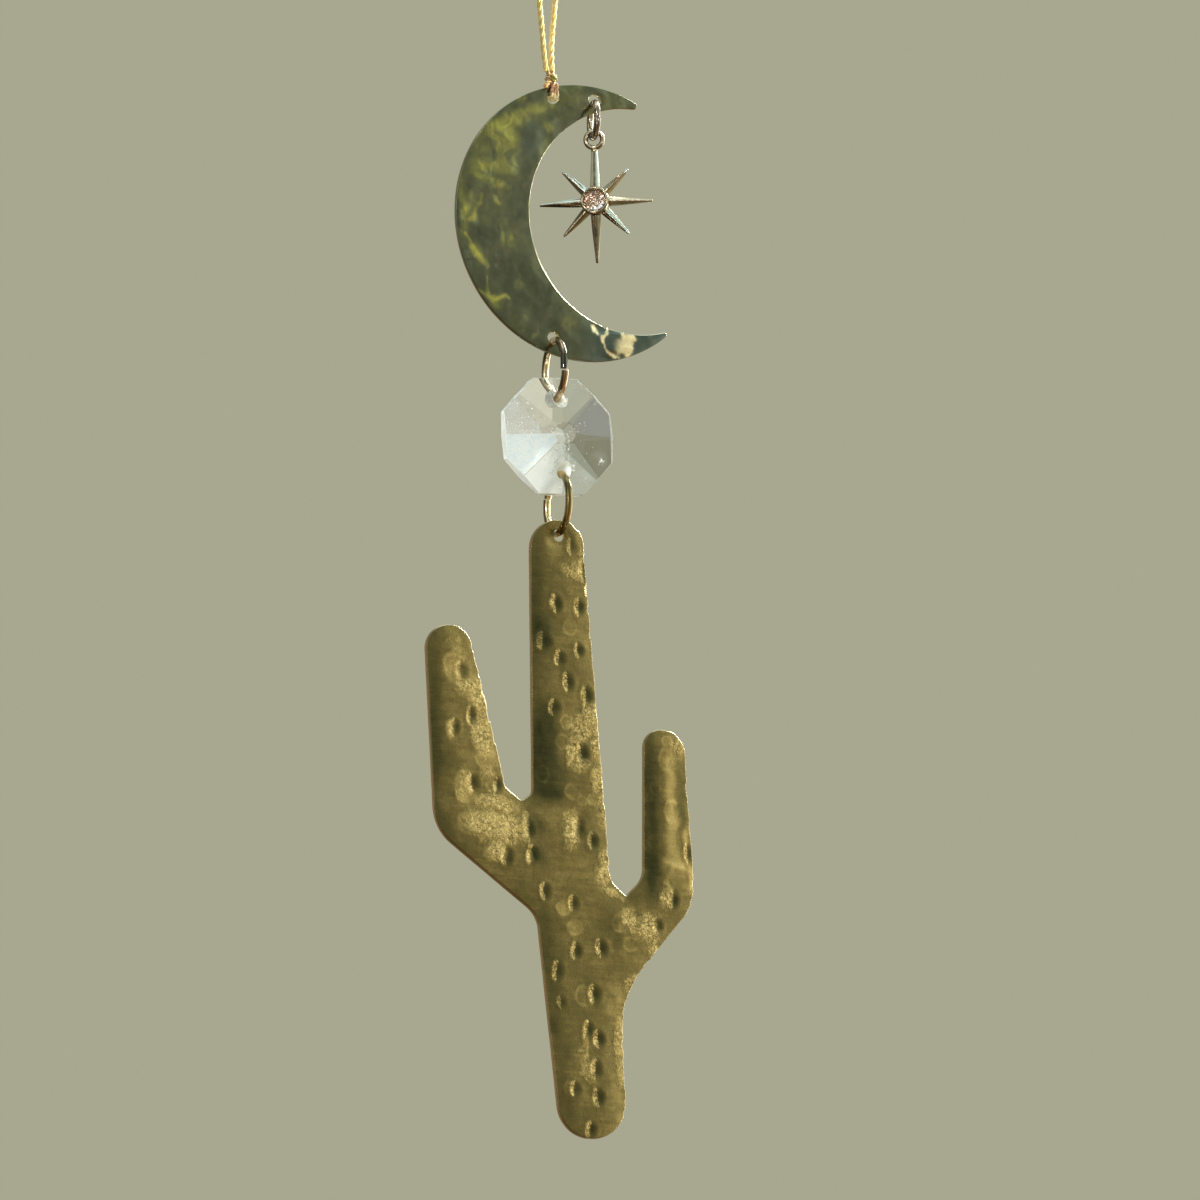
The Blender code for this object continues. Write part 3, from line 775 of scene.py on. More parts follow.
def make_wire(name, stops, rough):
    """Bright wire; its 'tone' value sets painted reflections, from a dark reflection at 0 to a painted highlight at 1.
    """
    made, t, s = shader(name)
    mm = mm_coords(t)
    patch = noise(t, mm, 1.1, 4.0, 0.6, 0.8)
    wander = maths(t, "MULTIPLY", maths(t, "SUBTRACT", patch, 0.5), 0.30)
    colour = ramp(t, stops, maths(t, "ADD", attribute(t, "tone"), wander, clamp=True))
    t.links.new(colour, s.inputs["Base Color"])
    s.inputs["Metallic"].default_value = 1.0
    fine = noise(t, mm, 7.0, 3.0, 0.6)
    t.links.new(maths(t, "ADD", maths(t, "MULTIPLY", fine, 0.12), rough), s.inputs["Roughness"])
    n = bump(t, noise(t, mm, 2.2, 3.0, 0.55), 0.02, 0.5)
    t.links.new(n, s.inputs["Normal"])
    return made


def make_charm_metal():
    made, t, s = shader("charm_metal")
    mm = mm_coords(t)
    patch = noise(t, mm, 0.7, 4.0, 0.6, 0.5)
    wander = maths(t, "MULTIPLY", maths(t, "SUBTRACT", patch, 0.5), 0.6)
    colour = ramp(
        t,
        [
            (0.00, (0.070, 0.066, 0.052)),
            (0.25, (0.360, 0.300, 0.200)),
            (0.50, (0.640, 0.580, 0.440)),
            (0.68, (0.610, 0.740, 0.720)),
            (1.00, (0.820, 0.980, 1.000)),
        ],
        maths(t, "ADD", attribute(t, "tone"), wander, clamp=True),
    )
    t.links.new(colour, s.inputs["Base Color"])
    s.inputs["Metallic"].default_value = 1.0
    fine = noise(t, mm, 6.0, 4.0, 0.6)
    rough = maths(t, "ADD", maths(t, "MULTIPLY", fine, 0.12), 0.09)
    t.links.new(maths(t, "ADD", rough, maths(t, "MULTIPLY", attribute(t, "edge"), 0.24)), s.inputs["Roughness"])
    n = bump(t, noise(t, mm, 3.0, 3.0, 0.55), 0.010, 0.5)
    t.links.new(n, s.inputs["Normal"])
    return made


def make_foil():
    made, t, s = shader("stone_foil")
    mm = mm_coords(t)
    colour = ramp(t, [(0.40, (1.0, 0.69, 0.56)), (0.62, (1.0, 0.94, 0.88))], noise(t, mm, 2.5, 3.0, 0.6))
    t.links.new(colour, s.inputs["Base Color"])
    s.inputs["Metallic"].default_value = 1.0
    t.links.new(maths(t, "ADD", maths(t, "MULTIPLY", noise(t, mm, 6.0, 2.0), 0.20), 0.08), s.inputs["Roughness"])
    return made


def make_glass(name, colour, ior, rough, waves=0.0, transmission=1.0):
    """See-through by plain values; only the fine waviness of the polish comes from nodes."""
    made, t, s = shader(name)
    s.inputs["Base Color"].default_value = (*colour, 1.0)
    s.inputs["Roughness"].default_value = rough
    s.inputs["IOR"].default_value = ior
    s.inputs["Transmission Weight"].default_value = transmission
    if waves:
        mm = mm_coords(t)
        height = maths(t, "ADD", noise(t, mm, 0.8, 2.0), maths(t, "MULTIPLY", noise(t, mm, 4.0, 4.0, 0.7), 0.25))
        t.links.new(bump(t, height, waves, 1.0), s.inputs["Normal"])
    return made


def make_dusty_glass(name, thin, thick, clear, more=0.0):
    """Glass under a thin, uneven film of dust, which may lie thicker towards the lower left."""
    made, t, s = shader(name)
    mm = mm_coords(t)
    film = noise(t, mm, 1.6, 6.0, 0.72, 0.5)
    fine = noise(t, mm, 5.0, 4.0, 0.75)
    dust = maths(t, "ADD", maths(t, "MULTIPLY", film, 0.4), maths(t, "MULTIPLY", fine, 0.6))
    if more:
        split = node(t, "ShaderNodeSeparateXYZ")
        t.links.new(mm, split.inputs[0])
        left = maths(t, "MULTIPLY", maths(t, "ADD", split.outputs["X"], 1.0), -0.4, clamp=True)
        low = maths(t, "MULTIPLY", maths(t, "ADD", split.outputs["Z"], 4.6), -0.6, clamp=True)
        dust = maths(t, "ADD", dust, maths(t, "MULTIPLY", maths(t, "ADD", left, maths(t, "MULTIPLY", low, 2.0)), more))
    colour = ramp(t, [(0.40, thin), (0.56, thick)], dust)
    t.links.new(colour, s.inputs["Base Color"])
    s.inputs["IOR"].default_value = 1.52
    s.inputs["Transmission Weight"].default_value = clear
    rough = ramp(t, [(0.38, grey(0.34)), (0.62, grey(0.50))], maths(t, "ADD", maths(t, "MULTIPLY", film, 0.5), maths(t, "MULTIPLY", fine, 0.5)))
    t.links.new(rough, s.inputs["Roughness"])
    t.links.new(bump(t, fine, 0.012, 1.0), s.inputs["Normal"])
    return made


def make_dust():
    made, t, s = shader("glass_dust")
    mm = mm_coords(t)
    # most specks are white dust; a share is painted dark, as painted shadow beside them
    colour = ramp(t, [(0.30, (0.45, 0.43, 0.36)), (0.36, (0.94, 0.96, 0.92)), (0.7, (1.0, 0.99, 0.92))], noise(t, mm, 2.6, 2.0))
    t.links.new(colour, s.inputs["Base Color"])
    s.inputs["Roughness"].default_value = 0.75
    return made


def make_thread(name, stops, metal, rough):
    made, t, s = shader(name)
    mm = mm_coords(t)
    fleck = noise(t, mm, 4.5, 4.0, 0.7, 0.6)
    # painted highlight where the 'light' value is set
    colour = mix(t, attribute(t, "light"), ramp(t, stops, fleck), (1.0, 0.84, 0.52))
    t.links.new(colour, s.inputs["Base Color"])
    s.inputs["Metallic"].default_value = metal
    s.inputs["Roughness"].default_value = rough
    s.inputs["Subsurface Weight"].default_value = 1.0
    s.inputs["Subsurface Radius"].default_value = (1.0, 1.0, 1.0)
    s.inputs["Subsurface Scale"].default_value = 0.0003
    fibre = noise(t, mm_coords(t, (3.0, 3.0, 0.7)), 5.0, 3.0, 0.6)
    t.links.new(bump(t, fibre, 0.02, 0.8), s.inputs["Normal"])
    return made


moon_brass = make_moon_brass()
cactus_brass = make_cactus_brass()
# the wire ramps run from a painted dark reflection at 0 to a painted highlight at 1
GOLD_WIRE = [(0.0, (0.034, 0.056, 0.052)), (0.30, (0.27, 0.205, 0.140)), (0.60, (0.72, 0.50, 0.34)), (1.0, (1.0, 0.86, 0.58))]
OLIVE_WIRE = [(0.0, (0.070, 0.070, 0.035)), (0.35, (0.28, 0.215, 0.090)), (0.65, (0.66, 0.48, 0.20)), (1.0, (1.0, 0.84, 0.50))]
SILVER_WIRE = [(0.0, (0.075, 0.090, 0.090)), (0.35, (0.245, 0.225, 0.190)), (0.65, (0.60, 0.49, 0.40)), (1.0, (0.98, 0.93, 0.82))]
upper_wire = make_wire("upper_wire", GOLD_WIRE, 0.06)
lower_wire = make_wire("lower_wire", OLIVE_WIRE, 0.07)
star_wire = make_wire("star_wire", SILVER_WIRE, 0.06)
charm_metal = make_charm_metal()
stone_foil = make_foil()
clear_glass = make_glass("clear_glass", (0.985, 0.99, 0.985), 1.52, 0.0, 0.0006)
dusty_glass = make_dusty_glass("dusty_glass", (0.70, 0.84, 0.90), (0.95, 1.0, 1.0), 0.28)
powdered_glass = make_dusty_glass("powdered_glass", (0.54, 0.56, 0.50), (0.96, 1.0, 0.98), 0.32, 0.16)
ground_glass = make_glass("ground_glass", (0.95, 1.0, 0.96), 1.52, 0.45, 0.010, 0.34)
stone_glass = make_glass("stone_glass", (1.0, 0.96, 0.94), 1.75, 0.0, 0.0003)
glass_dust = make_dust()
gold_thread = make_thread(
    "gold_thread", [(0.28, (0.84, 0.46, 0.12)), (0.50, (1.0, 0.74, 0.30)), (0.72, (1.0, 0.95, 0.72))], 0.10, 0.32
)
# darker copies of the gold thread for the knot, its side, the bight and the cut end: painted shade
knot_thread_shaded = make_thread(
    "knot_thread_shaded", [(0.25, (0.34, 0.20, 0.11)), (0.50, (0.66, 0.43, 0.25)), (0.75, (0.96, 0.70, 0.42))], 0.20, 0.36
)
bight_thread_shaded = make_thread(
    "bight_thread_shaded", [(0.25, (0.23, 0.135, 0.075)), (0.50, (0.48, 0.30, 0.175)), (0.75, (0.84, 0.60, 0.36))], 0.20, 0.36
)
knot_side_thread_shaded = make_thread(
    "knot_side_thread_shaded", [(0.25, (0.20, 0.17, 0.030)), (0.50, (0.40, 0.34, 0.08)), (0.75, (0.76, 0.66, 0.22))], 0.20, 0.36
)
cut_end_thread_shaded = make_thread(
    "cut_end_thread_shaded", [(0.25, (0.66, 0.34, 0.11)), (0.50, (0.88, 0.54, 0.22)), (0.75, (1.0, 0.78, 0.46))], 0.15, 0.34
)

def put_values(obj, key, values):
    obj.data.attributes.new(key, "FLOAT", "POINT").data.foreach_set("value", np.asarray(values, np.float32))


def places(obj):
    """The vertices in mm, as an array."""
    flat = np.empty(len(obj.data.vertices) * 3)
    obj.data.vertices.foreach_get("co", flat)
    return flat.reshape(-1, 3) / MM


# ---------------------------------------------------------------- thread
foot = knot_centre.z + KNOT_HALF + 0.10
turn_z = THREAD_R - (LOOP_TOP_R + THREAD_R)
route = []
for side in (-1.0, 1.0):
    leg = [
        Vector((knot_centre.x - 0.30 + side * 0.37, knot_centre.y, foot)),
        Vector((0.02 + side * 0.50, -0.06, foot + 2.6)),
        Vector((side * LOOP_HALF_MID, 0.0, -15.1)),
        Vector((side * (LOOP_TOP_R + THREAD_R) * 0.78, 0.0, turn_z - 4.2)),
        Vector((side * (LOOP_TOP_R + THREAD_R) * 0.985, 0.0, turn_z - 0.9)),
        Vector((side * (LOOP_TOP_R + THREAD_R) * 0.94, 0.0, turn_z + (LOOP_TOP_R + THREAD_R) * 0.36)),
        Vector((side * (LOOP_TOP_R + THREAD_R) * 0.58, 0.0, turn_z + (LOOP_TOP_R + THREAD_R) * 0.82)),
    ]
    route += leg + [Vector((0.0, 0.0, THREAD_R))] if side < 0 else leg[::-1]
thread_path = smooth_path(route, 0.85)


def plies(points, radius, count, pitch, step=0.10, sides=9, phase=0.0, taper=0.0, fuzz=0.06, seed=1):
    """Strands wound round each other along a line: one closed shell for each ply."""
    centre = smooth_path(points, step)
    p, t, n, b = frames_along(centre)
    gone = np.concatenate([[0.0], np.cumsum(np.linalg.norm(np.diff(p, axis=0), axis=1))])
    # circles packed round the centre
    ply_r = radius / (1 + 1 / math.sin(math.pi / count)) if count > 1 else radius
    offset = radius - ply_r if count > 1 else 0.0
    ply_r *= 1.12
    rng = np.random.default_rng(seed)
    shells = []
    for k in range(count):
        a = 2 * np.pi * (gone / pitch + k / count) + phase
        wobble = 1 + fuzz * field(gone, gone * 0 + k * 3.3, 0.6, seed + k)
        line = p + offset * (np.cos(a)[:, None] * n + np.sin(a)[:, None] * b)
        r = ply_r * wobble
        if taper > 0:
            r = r * np.clip((gone[-1] - gone) / taper, 0.35, 1.0)
        shells.append(tube(line, r, sides))
    return shells, rng


loop_shells, _ = plies(thread_path, THREAD_R, 3, 3.1, 0.11)
thread_loop = mesh_from("thread_loop_twist", loop_shells)
finish_piece(thread_loop, gold_thread, "gold_thread", "thread_loop")

# the knot: the doubled thread goes round itself, and through
def round_knot(at, radius, rise, turns, start, tip, squash=0.92, count=44):
    """A wrap round the standing strands."""
    line = []
    for i in range(count + 1):
        t = i / count
        a = 2 * math.pi * turns * t + start
        r = radius * (1 - 0.10 * math.cos(2 * math.pi * t))
        line.append(at + Vector((r * math.cos(a), r * math.sin(a) * squash, rise * (t - 0.5) + tip * math.cos(a))))
    return line


knot_shells = {"brown": [], "olive": [], "gold": []}


def lay(kind, points, radius, count, pitch, seed, taper=0.0):
    shells, _ = plies(points, radius, count, pitch, 0.06, 9, phase=0.7 * seed, taper=taper, seed=20 + seed)
    knot_shells[kind] += shells


lay("brown", round_knot(knot_centre + Vector((-0.18, -0.05, 0.04)), 0.40, 0.72, 2.1, 2.2, 0.10), 0.27, 3, 1.3, 1)
lay("olive", round_knot(knot_centre + Vector((0.00, -0.42, 0.02)), 0.22, 0.52, 2.2, -2.6, 0.05), 0.29, 3, 1.1, 2)
for i, (x, dy) in enumerate(((-0.24, 0.06), (0.20, -0.04))):
    lay(
        "brown",
        [
            knot_centre + Vector((x, dy, -0.72)),
            knot_centre + Vector((x * 1.1, dy - 0.05, -0.2)),
            knot_centre + Vector((-x * 0.6, dy + 0.02, 0.3)),
            knot_centre + Vector((-x * 1.6 - 0.25, dy, 0.80)),
        ],
        0.25,
        2,
        1.3,
        3 + i,
    )
# its cut end, out to the left and down
lay(
    "gold",
    [
        knot_centre + Vector((-0.30, -0.30, -0.30)),
        knot_centre + Vector((-0.62, -0.44, -0.56)),
        knot_centre + Vector((-0.94, -0.50, -0.88)),
        knot_centre + Vector((-1.24, -0.48, -1.24)),
    ],
    0.29,
    3,
    1.5,
    6,
    0.30,
)
thread_knot = mesh_from("thread_knot_wraps", knot_shells["brown"])
finish_piece(thread_knot, knot_thread_shaded, "gold_thread", "thread_knot")
knot_side = mesh_from("thread_knot_side", knot_shells["olive"])
finish_piece(knot_side, knot_side_thread_shaded, "gold_thread")
knot_tail = mesh_from("thread_cut_end", knot_shells["gold"])
finish_piece(knot_tail, cut_end_thread_shaded, "gold_thread")

# the bight: strands side by side, down in front of the rim, back through the hole and up behind
bight_shells = []
half = SHEET / 2
for i, (dx, low) in enumerate(((-0.36, 0.06), (0.0, -0.08), (0.36, 0.02))):
    thick = 0.205
    room = thick + 0.10
    edge = HOLE_R - 0.20 + low
    line = [Vector((-0.12 + dx * 0.45, -half - room + 0.10, KNOT_ABOVE_HOLE - 0.50))]
    line.append(Vector((dx * 0.80, -half - room - 0.05, edge + 0.80)))
    for k in range(6):
        a = math.radians(180.0 + 90.0 * k / 5)
        line.append(Vector((dx, -half + (room + 0.03) * math.cos(a), edge - 0.22 + (room + 0.12) * math.sin(a))))
    for k in range(6):
        a = math.radians(270.0 + 90.0 * k / 5)
        line.append(Vector((dx, half + (room + 0.03) * math.cos(a), edge - 0.22 + (room + 0.12) * math.sin(a))))
    line.append(Vector((dx * 0.80, half + room + 0.02, edge + 0.70)))
    line.append(Vector((-0.12 + dx * 0.45, half + room - 0.20, KNOT_ABOVE_HOLE - 0.46)))
    shells, _ = plies([thread_hole + p for p in line], thick, 2, 2.1, 0.06, 9, phase=1.1 * i, seed=40 + i)
    bight_shells += shells
thread_bight = mesh_from("thread_bight_strands", bight_shells)
# painted highlight: the bottom of the bight, in the hole, is painted lighter
low = places(thread_bight)[:, 2] - thread_hole.z
put_values(thread_bight, "light", smooth01((0.58 - low) / 0.45))
finish_piece(thread_bight, bight_thread_shaded, "gold_thread", "thread_bight")


# ---------------------------------------------------------------- moon
def quiet_near(x, z, holes, reach=1.0, fade=1.2):
    """0 beside the holes, where a link bears, and 1 away from them."""
    result = np.ones_like(x)
    for hx, hz in holes:
        result *= smooth01((np.hypot(x - hx, z - hz) - reach) / fade)
    return result


def hammer_blows(spread, seed, low, high, jitter=0.42):
    rng = np.random.default_rng(seed)
    blows = []
    n = int(22 / spread) + 1
    for i in range(-n, n + 1):
        for j in range(-n, n + 1):
            cx = (i + 0.5 * (j % 2)) * spread + rng.uniform(-jitter, jitter) * spread
            cz = j * spread * 0.87 + rng.uniform(-jitter, jitter) * spread
            blows.append((cx, cz, rng.uniform(low, high), rng.uniform(0.75, 1.3), rng.uniform(0, math.pi)))
    return blows


MOON_BLOWS = hammer_blows(3.0, 7, 0.045, 0.085)


def gold_places(x, z):
    """1 on the lower horn's facets that get a painted gold reflection."""
    gx = x + 0.16 * layered(x, z, 0.6, 61)
    gz = z + 0.16 * layered(x, z, 0.6, 63)
    gold = np.zeros_like(x)
    for points, width in MOON_GOLD:
        gold = np.maximum(gold, stroke(gx, gz, points, width, 0.35))
    # the facet between the loop and the column brightens towards the column
    fade = smooth01((gx - 3.5) / 1.5) * blob(gx, gz, 4.8, -14.75, 1.4, 1.05, -20, 2.5)
    fade = fade * (1 - 0.8 * blob(gx, gz, 4.25, -13.25, 0.55, 0.45, -20, 2.0))
    gold = np.maximum(gold, 0.9 * fade)
    return gold * (1 - blob(x, z, 5.0, -15.62, 0.40, 0.24, 0, 2.5))


def gold_tilt(x, z):
    """The bright facets lean to the right, and the sheet between them leans back."""
    step = 0.05
    across, up = np.meshgrid(np.arange(-0.6, 8.6, step), np.arange(-17.4, -11.0, step))
    gold = gold_places(across.ravel(), up.ravel()).reshape(across.shape)
    zone = blob(across, up, 3.9, -14.2, 3.6, 2.4, 0, 2.5)
    lean = gold - zone * (gold.sum(1) / np.maximum(zone.sum(1), 1e-6))[:, None]
    rise = -0.19 * step * np.cumsum(lean, 1)
    for _ in range(4):
        rise[1:-1] = (rise[:-2] + 2 * rise[1:-1] + rise[2:]) / 4
    u = np.clip((x + 0.6) / step, 0, across.shape[1] - 1.001)
    v = np.clip((z + 17.4) / step, 0, across.shape[0] - 1.001)
    i, j = np.floor(v).astype(int), np.floor(u).astype(int)
    fv, fu = v - i, u - j
    value = (rise[i, j] * (1 - fu) + rise[i, j + 1] * fu) * (1 - fv) + (rise[i + 1, j] * (1 - fu) + rise[i + 1, j + 1] * fu) * fv
    return np.where((x > -0.5) & (z < -11.1), value, 0.0)


def moon_relief(x, z, away):
    wx = x + 0.5 * field(x, z, 2.6, 3)
    wz = z + 0.5 * field(x, z, 2.6, 4)
    deepest = np.zeros_like(x)
    for cx, cz, depth, stretch, turn in MOON_BLOWS:
        if math.hypot(cx, cz) > MOON_R + 3:
            continue
        c, s = math.cos(turn), math.sin(turn)
        dx, dz = wx - cx, wz - cz
        u, v = (dx * c + dz * s) / stretch, (-dx * s + dz * c) * stretch
        bowl = depth * (1 - (u * u + v * v) / 2.3**2)
        # a soft maximum keeps the ridges between blows round
        deepest = np.where(
            bowl > -0.05, 0.012 * np.logaddexp(deepest / 0.012, np.clip(bowl, -0.05, 1) / 0.012), deepest
        )
    h = -deepest + 0.02 * layered(x, z, 1.3, 31, 2)
    calm = quiet_near(x, z, MOON_HOLES)
    h *= 0.25 + 0.75 * calm
    pillow = 0.10 * (1 - (1 - np.clip(away / 2.2, 0, 1)) ** 2)
    tilt = gold_tilt(x, z)
    return h + pillow - 0.08 + tilt, -0.45 * h + pillow * 0.6 - 0.05 - 0.8 * tilt


# painted reflections: lighter and yellower places on the crescent: x, z, half length, half height, turn, how much
MOON_LIGHT = (
    (-8.2, 12.3, 4.9, 1.00, 20, 0.34),
    (-11.2, 10.6, 2.2, 0.80, 24, 0.16),
    (-10.4, 9.2, 2.0, 1.5, 70, 0.26),
    (-11.2, 5.8, 2.5, 0.95, 0, 0.26),
    (-9.5, 7.4, 0.8, 2.2, 8, 0.14),
    (-13.6, 8.3, 1.3, 2.2, -20, 0.14),
    (-13.9, 5.6, 1.5, 1.3, 0, 0.20),
    (-12.6, 4.0, 2.4, 0.40, -12, 0.26),
    (-10.9, 3.3, 1.2, 0.30, 8, 0.22),
    (-15.9, 0.8, 0.60, 4.2, 3, 0.36),
    (-14.9, -0.2, 1.0, 1.3, 0, 0.30),
    (-14.7, 2.0, 0.9, 1.8, 0, 0.16),
    (-11.7, 1.6, 0.75, 0.42, -35, 0.34),
    (-10.9, -2.3, 0.35, 1.0, 12, 0.30),
    (-9.7, -2.9, 0.55, 1.1, 16, 0.30),
    (-14.3, -4.8, 0.8, 1.0, 30, 0.26),
    (-11.6, -10.6, 0.85, 1.0, 20, 0.40),
    (-8.7, -8.3, 0.55, 0.9, 0, 0.22),
    (-4.8, 11.2, 0.75, 0.85, 0, 0.28),
    (-5.0, 8.8, 0.5, 1.1, -38, 0.16),
    (-8.0, 14.3, 0.75, 0.35, 30, 0.26),
    (-1.9, -12.3, 0.9, 0.8, 0, 0.16),
    (-6.7, -14.4, 0.35, 0.35, 0, 0.26),
    (-12.8, -1.2, 0.8, 0.7, 0, 0.12),
    (2.6, 14.9, 1.6, 0.7, -14, 0.10),
    (-11.2, 8.0, 3.2, 3.8, 14, 0.17),
    (-1.6, 15.0, 1.2, 0.9, 0, 0.10),
)
# painted highlights: thin bright lines along the edges of hammered facets, as (x, z, width) points
MOON_LINES = (
    (((-15.6, -2.6, 0.5), (-15.1, -3.7, 0.7), (-14.7, -4.6, 1.4), (-14.2, -5.3, 1.3), (-13.1, -5.9, 0.9), (-12.6, -6.6, 0.4)), 0.32, 0.52),
    (((-13.6, 2.4, 0.5), (-13.7, 1.2, 0.9), (-14.2, 0.2, 1.0), (-14.7, -0.9, 1.1), (-15.5, -1.2, 0.7)), 0.26, 0.36),
    (((-12.6, -7.8, 0.5), (-12.7, -9.0, 0.8), (-12.5, -9.8, 0.9), (-11.6, -10.2, 1.2), (-10.2, -9.8, 1.1), (-9.8, -10.2, 0.5)), 0.30, 0.50),
    (((-13.8, -9.4, 0.6), (-12.9, -9.9, 0.9), (-12.0, -10.6, 1.0)), 0.28, 0.36),
    (((-12.4, 10.8, 0.7), (-10.6, 11.7, 1.0), (-8.4, 12.7, 1.1), (-6.6, 12.6, 0.8), (-4.2, 13.7, 0.6)), 0.42, 0.13),
    (((-12.2, 9.9, 0.5), (-12.1, 8.6, 0.9), (-12.0, 7.9, 0.5)), 0.22, 0.22),
    (((-9.4, 9.4, 0.5), (-8.7, 8.3, 0.9), (-8.9, 6.6, 0.9), (-9.6, 5.2, 0.6)), 0.26, 0.11),
    (((-13.8, 6.7, 0.5), (-13.2, 5.2, 0.9), (-12.2, 4.5, 0.7)), 0.24, 0.16),
    (((-7.2, 1.5, 0.6), (-7.15, 2.2, 0.8)), 0.20, 0.30),
)
# painted dark reflections: darker places, x, z, half length, half height, turn, how much
MOON_DARK = (
    (-12.1, 8.1, 0.42, 1.1, 12, 0.24),
    (-9.9, 7.3, 0.34, 0.65, 0, 0.22),
    (-14.6, 2.8, 0.8, 0.8, 0, 0.16),
    (-7.2, 5.0, 2.4, 1.6, 20, 0.10),
    (-7.6, 0.4, 2.4, 2.4, 0, 0.10),
    (-9.6, -7.2, 3.0, 2.4, 15, 0.14),
    (-5.6, -8.4, 2.4, 2.4, 0, 0.10),
    (-13.4, -7.8, 0.7, 1.3, 30, 0.10),
    (-13.2, -2.4, 1.6, 0.9, 0, 0.10),
    (-3.8, -12.8, 1.2, 0.7, 10, 0.08),
    (-7.4, 9.6, 0.9, 2.0, -10, 0.12),
)
# painted gold reflections on the lower horn's facets
MOON_GOLD = (
    (((1.2, -12.45, 0.7), (1.45, -12.85, 1.1), (1.75, -13.3, 0.9)), 0.31),
    (((3.2, -12.75, 0.9), (2.95, -13.15, 1.0), (2.45, -13.7, 0.8), (2.45, -14.1, 0.5), (2.7, -14.7, 0.4), (2.95, -15.3, 0.5), (3.45, -15.7, 0.7), (4.1, -15.85, 0.6), (4.6, -15.95, 0.5)), 0.27),
    (((4.95, -12.75, 0.5), (5.15, -13.3, 0.8), (5.35, -13.9, 1.1), (5.55, -14.6, 1.2), (5.75, -15.4, 1.0)), 0.42),
    (((5.6, -13.4, 0.9), (6.2, -13.5, 1.2), (6.55, -13.35, 0.9)), 0.45),
    (((6.2, -13.9, 1.0), (5.95, -14.8, 1.1), (5.75, -15.55, 0.8)), 0.42),
)


def moon_tones(x, z, away):
    # the tone paints the sheet's reflections: painted light and dark places and painted highlight lines
    wx = x + 0.28 * layered(x, z, 1.3, 12)
    wz = z + 0.28 * layered(x, z, 1.3, 14)
    tone = 0.20 + 0.07 * layered(x, z, 2.6, 16)
    for cx, cz, rx, rz, turn, amp in MOON_LIGHT:
        tone = tone + amp * blob(wx, wz, cx, cz, rx, rz, turn, 1.6)
    for cx, cz, rx, rz, turn, amp in MOON_DARK:
        tone = tone - amp * blob(wx, wz, cx, cz, rx, rz, turn, 1.6)
    for points, width, amp in MOON_LINES:
        tone = tone + 0.8 * amp * stroke(wx, wz, points, width)
    # streaky swirls inside the painted reflections
    swirl = field(x * 1.0 + 0.8 * field(x, z, 1.6, 21), z * 0.45, 0.42, 23)
    tone = tone + 0.13 * swirl * smooth01((tone - 0.25) / 0.3)
    gold = gold_places(x, z)
    teal = smooth01((x + 3.0) / 6.0) * smooth01((-z - 9.0) / 4.0) + 0.55 * blob(x, z, -7.2, 8.6, 1.4, 3.4, -25, 1.2)
    teal = np.clip(teal + 0.25 * layered(x, z, 2.2, 66) * (teal > 0.02), 0, 1)
    return {
        "tone": np.clip(tone, 0, 1),
        "gold": np.clip(gold, 0, 1),
        "teal": teal,
    }


def circle(cx, cz, radius=HOLE_R, count=72):
    return [
        Vector((cx + radius * math.cos(2 * math.pi * i / count), cz + radius * math.sin(2 * math.pi * i / count)))
        for i in range(count)
    ]


grid_moon = 0.19
moon = plate(
    "moon_hammered",
    crescent(0.12),
    [circle(*h) for h in MOON_HOLES],
    grid_moon,
    moon_relief,
    moon_tones,
    # painted highlight along the rim, except near the top
    lambda x, z: 1 - smooth01((z - 9.0) / 3.0),
)
moon.location = moon_c * MM
finish_piece(moon, moon_brass, "moon_brass", "moon_crescent")

# ---------------------------------------------------------------- cactus
# punched dents, in mm from the hole's datum: x, z, width, height, depth
DENTS = (
    (1.25, -1.3, 0.95, 1.05, 0.55),
    (2.85, -4.0, 1.00, 1.45, 0.85),
    (3.60, -6.3, 0.90, 0.95, 0.90),
    (-0.80, -8.4, 1.00, 1.15, 0.95),
    (2.25, -8.5, 1.00, 1.10, 1.00),
    (-2.45, -13.0, 1.25, 1.10, 0.80),
    (2.15, -13.8, 0.95, 0.90, 0.95),
    (-0.35, -14.9, 1.00, 0.95, 0.90),
    (0.75, -17.7, 1.00, 1.15, 0.90),
    (3.25, -19.1, 1.10, 1.20, 1.10),
    (-1.10, -20.9, 1.05, 1.00, 0.85),
    (2.65, -26.2, 1.15, 1.40, 1.10),
    (2.10, -35.3, 1.10, 1.40, 0.85),
    (4.00, -36.6, 1.00, 1.00, 1.05),
    (-4.40, -35.8, 0.95, 1.25, 0.80),
    (-3.95, -38.9, 1.05, 1.15, 0.90),
    (-2.25, -43.2, 0.95, 1.10, 0.85),
    (1.45, -44.3, 0.95, 0.95, 0.80),
    (1.80, -50.0, 1.00, 1.05, 0.95),
    (5.10, -49.4, 1.05, 1.10, 1.05),
    (-0.60, -52.6, 1.00, 1.25, 0.85),
    (4.20, -55.0, 1.10, 1.15, 1.00),
    (-0.10, -56.3, 0.80, 0.80, 0.55),
    (3.40, -59.3, 0.95, 1.10, 0.90),
    (4.80, -60.4, 1.05, 1.05, 1.05),
    (4.45, -64.0, 1.00, 1.20, 0.80),
    (1.70, -66.6, 0.95, 0.90, 0.85),
    (4.75, -67.4, 1.05, 1.10, 0.95),
    (3.80, -71.3, 1.00, 1.00, 0.95),
    (-13.20, -17.6, 1.05, 1.15, 0.65),
    (-11.90, -22.9, 0.95, 1.15, 0.95),
    (-14.10, -24.5, 0.85, 1.05, 1.00),
    (-11.70, -31.0, 1.05, 1.15, 0.90),
    (-8.45, -30.9, 0.85, 0.95, 0.80),
    (-7.25, -39.4, 1.10, 1.15, 0.95),
    (16.55, -37.0, 0.85, 1.15, 0.80),
    (14.60, -42.7, 0.95, 1.20, 1.00),
    (12.50, -46.1, 0.95, 0.95, 0.95),
)
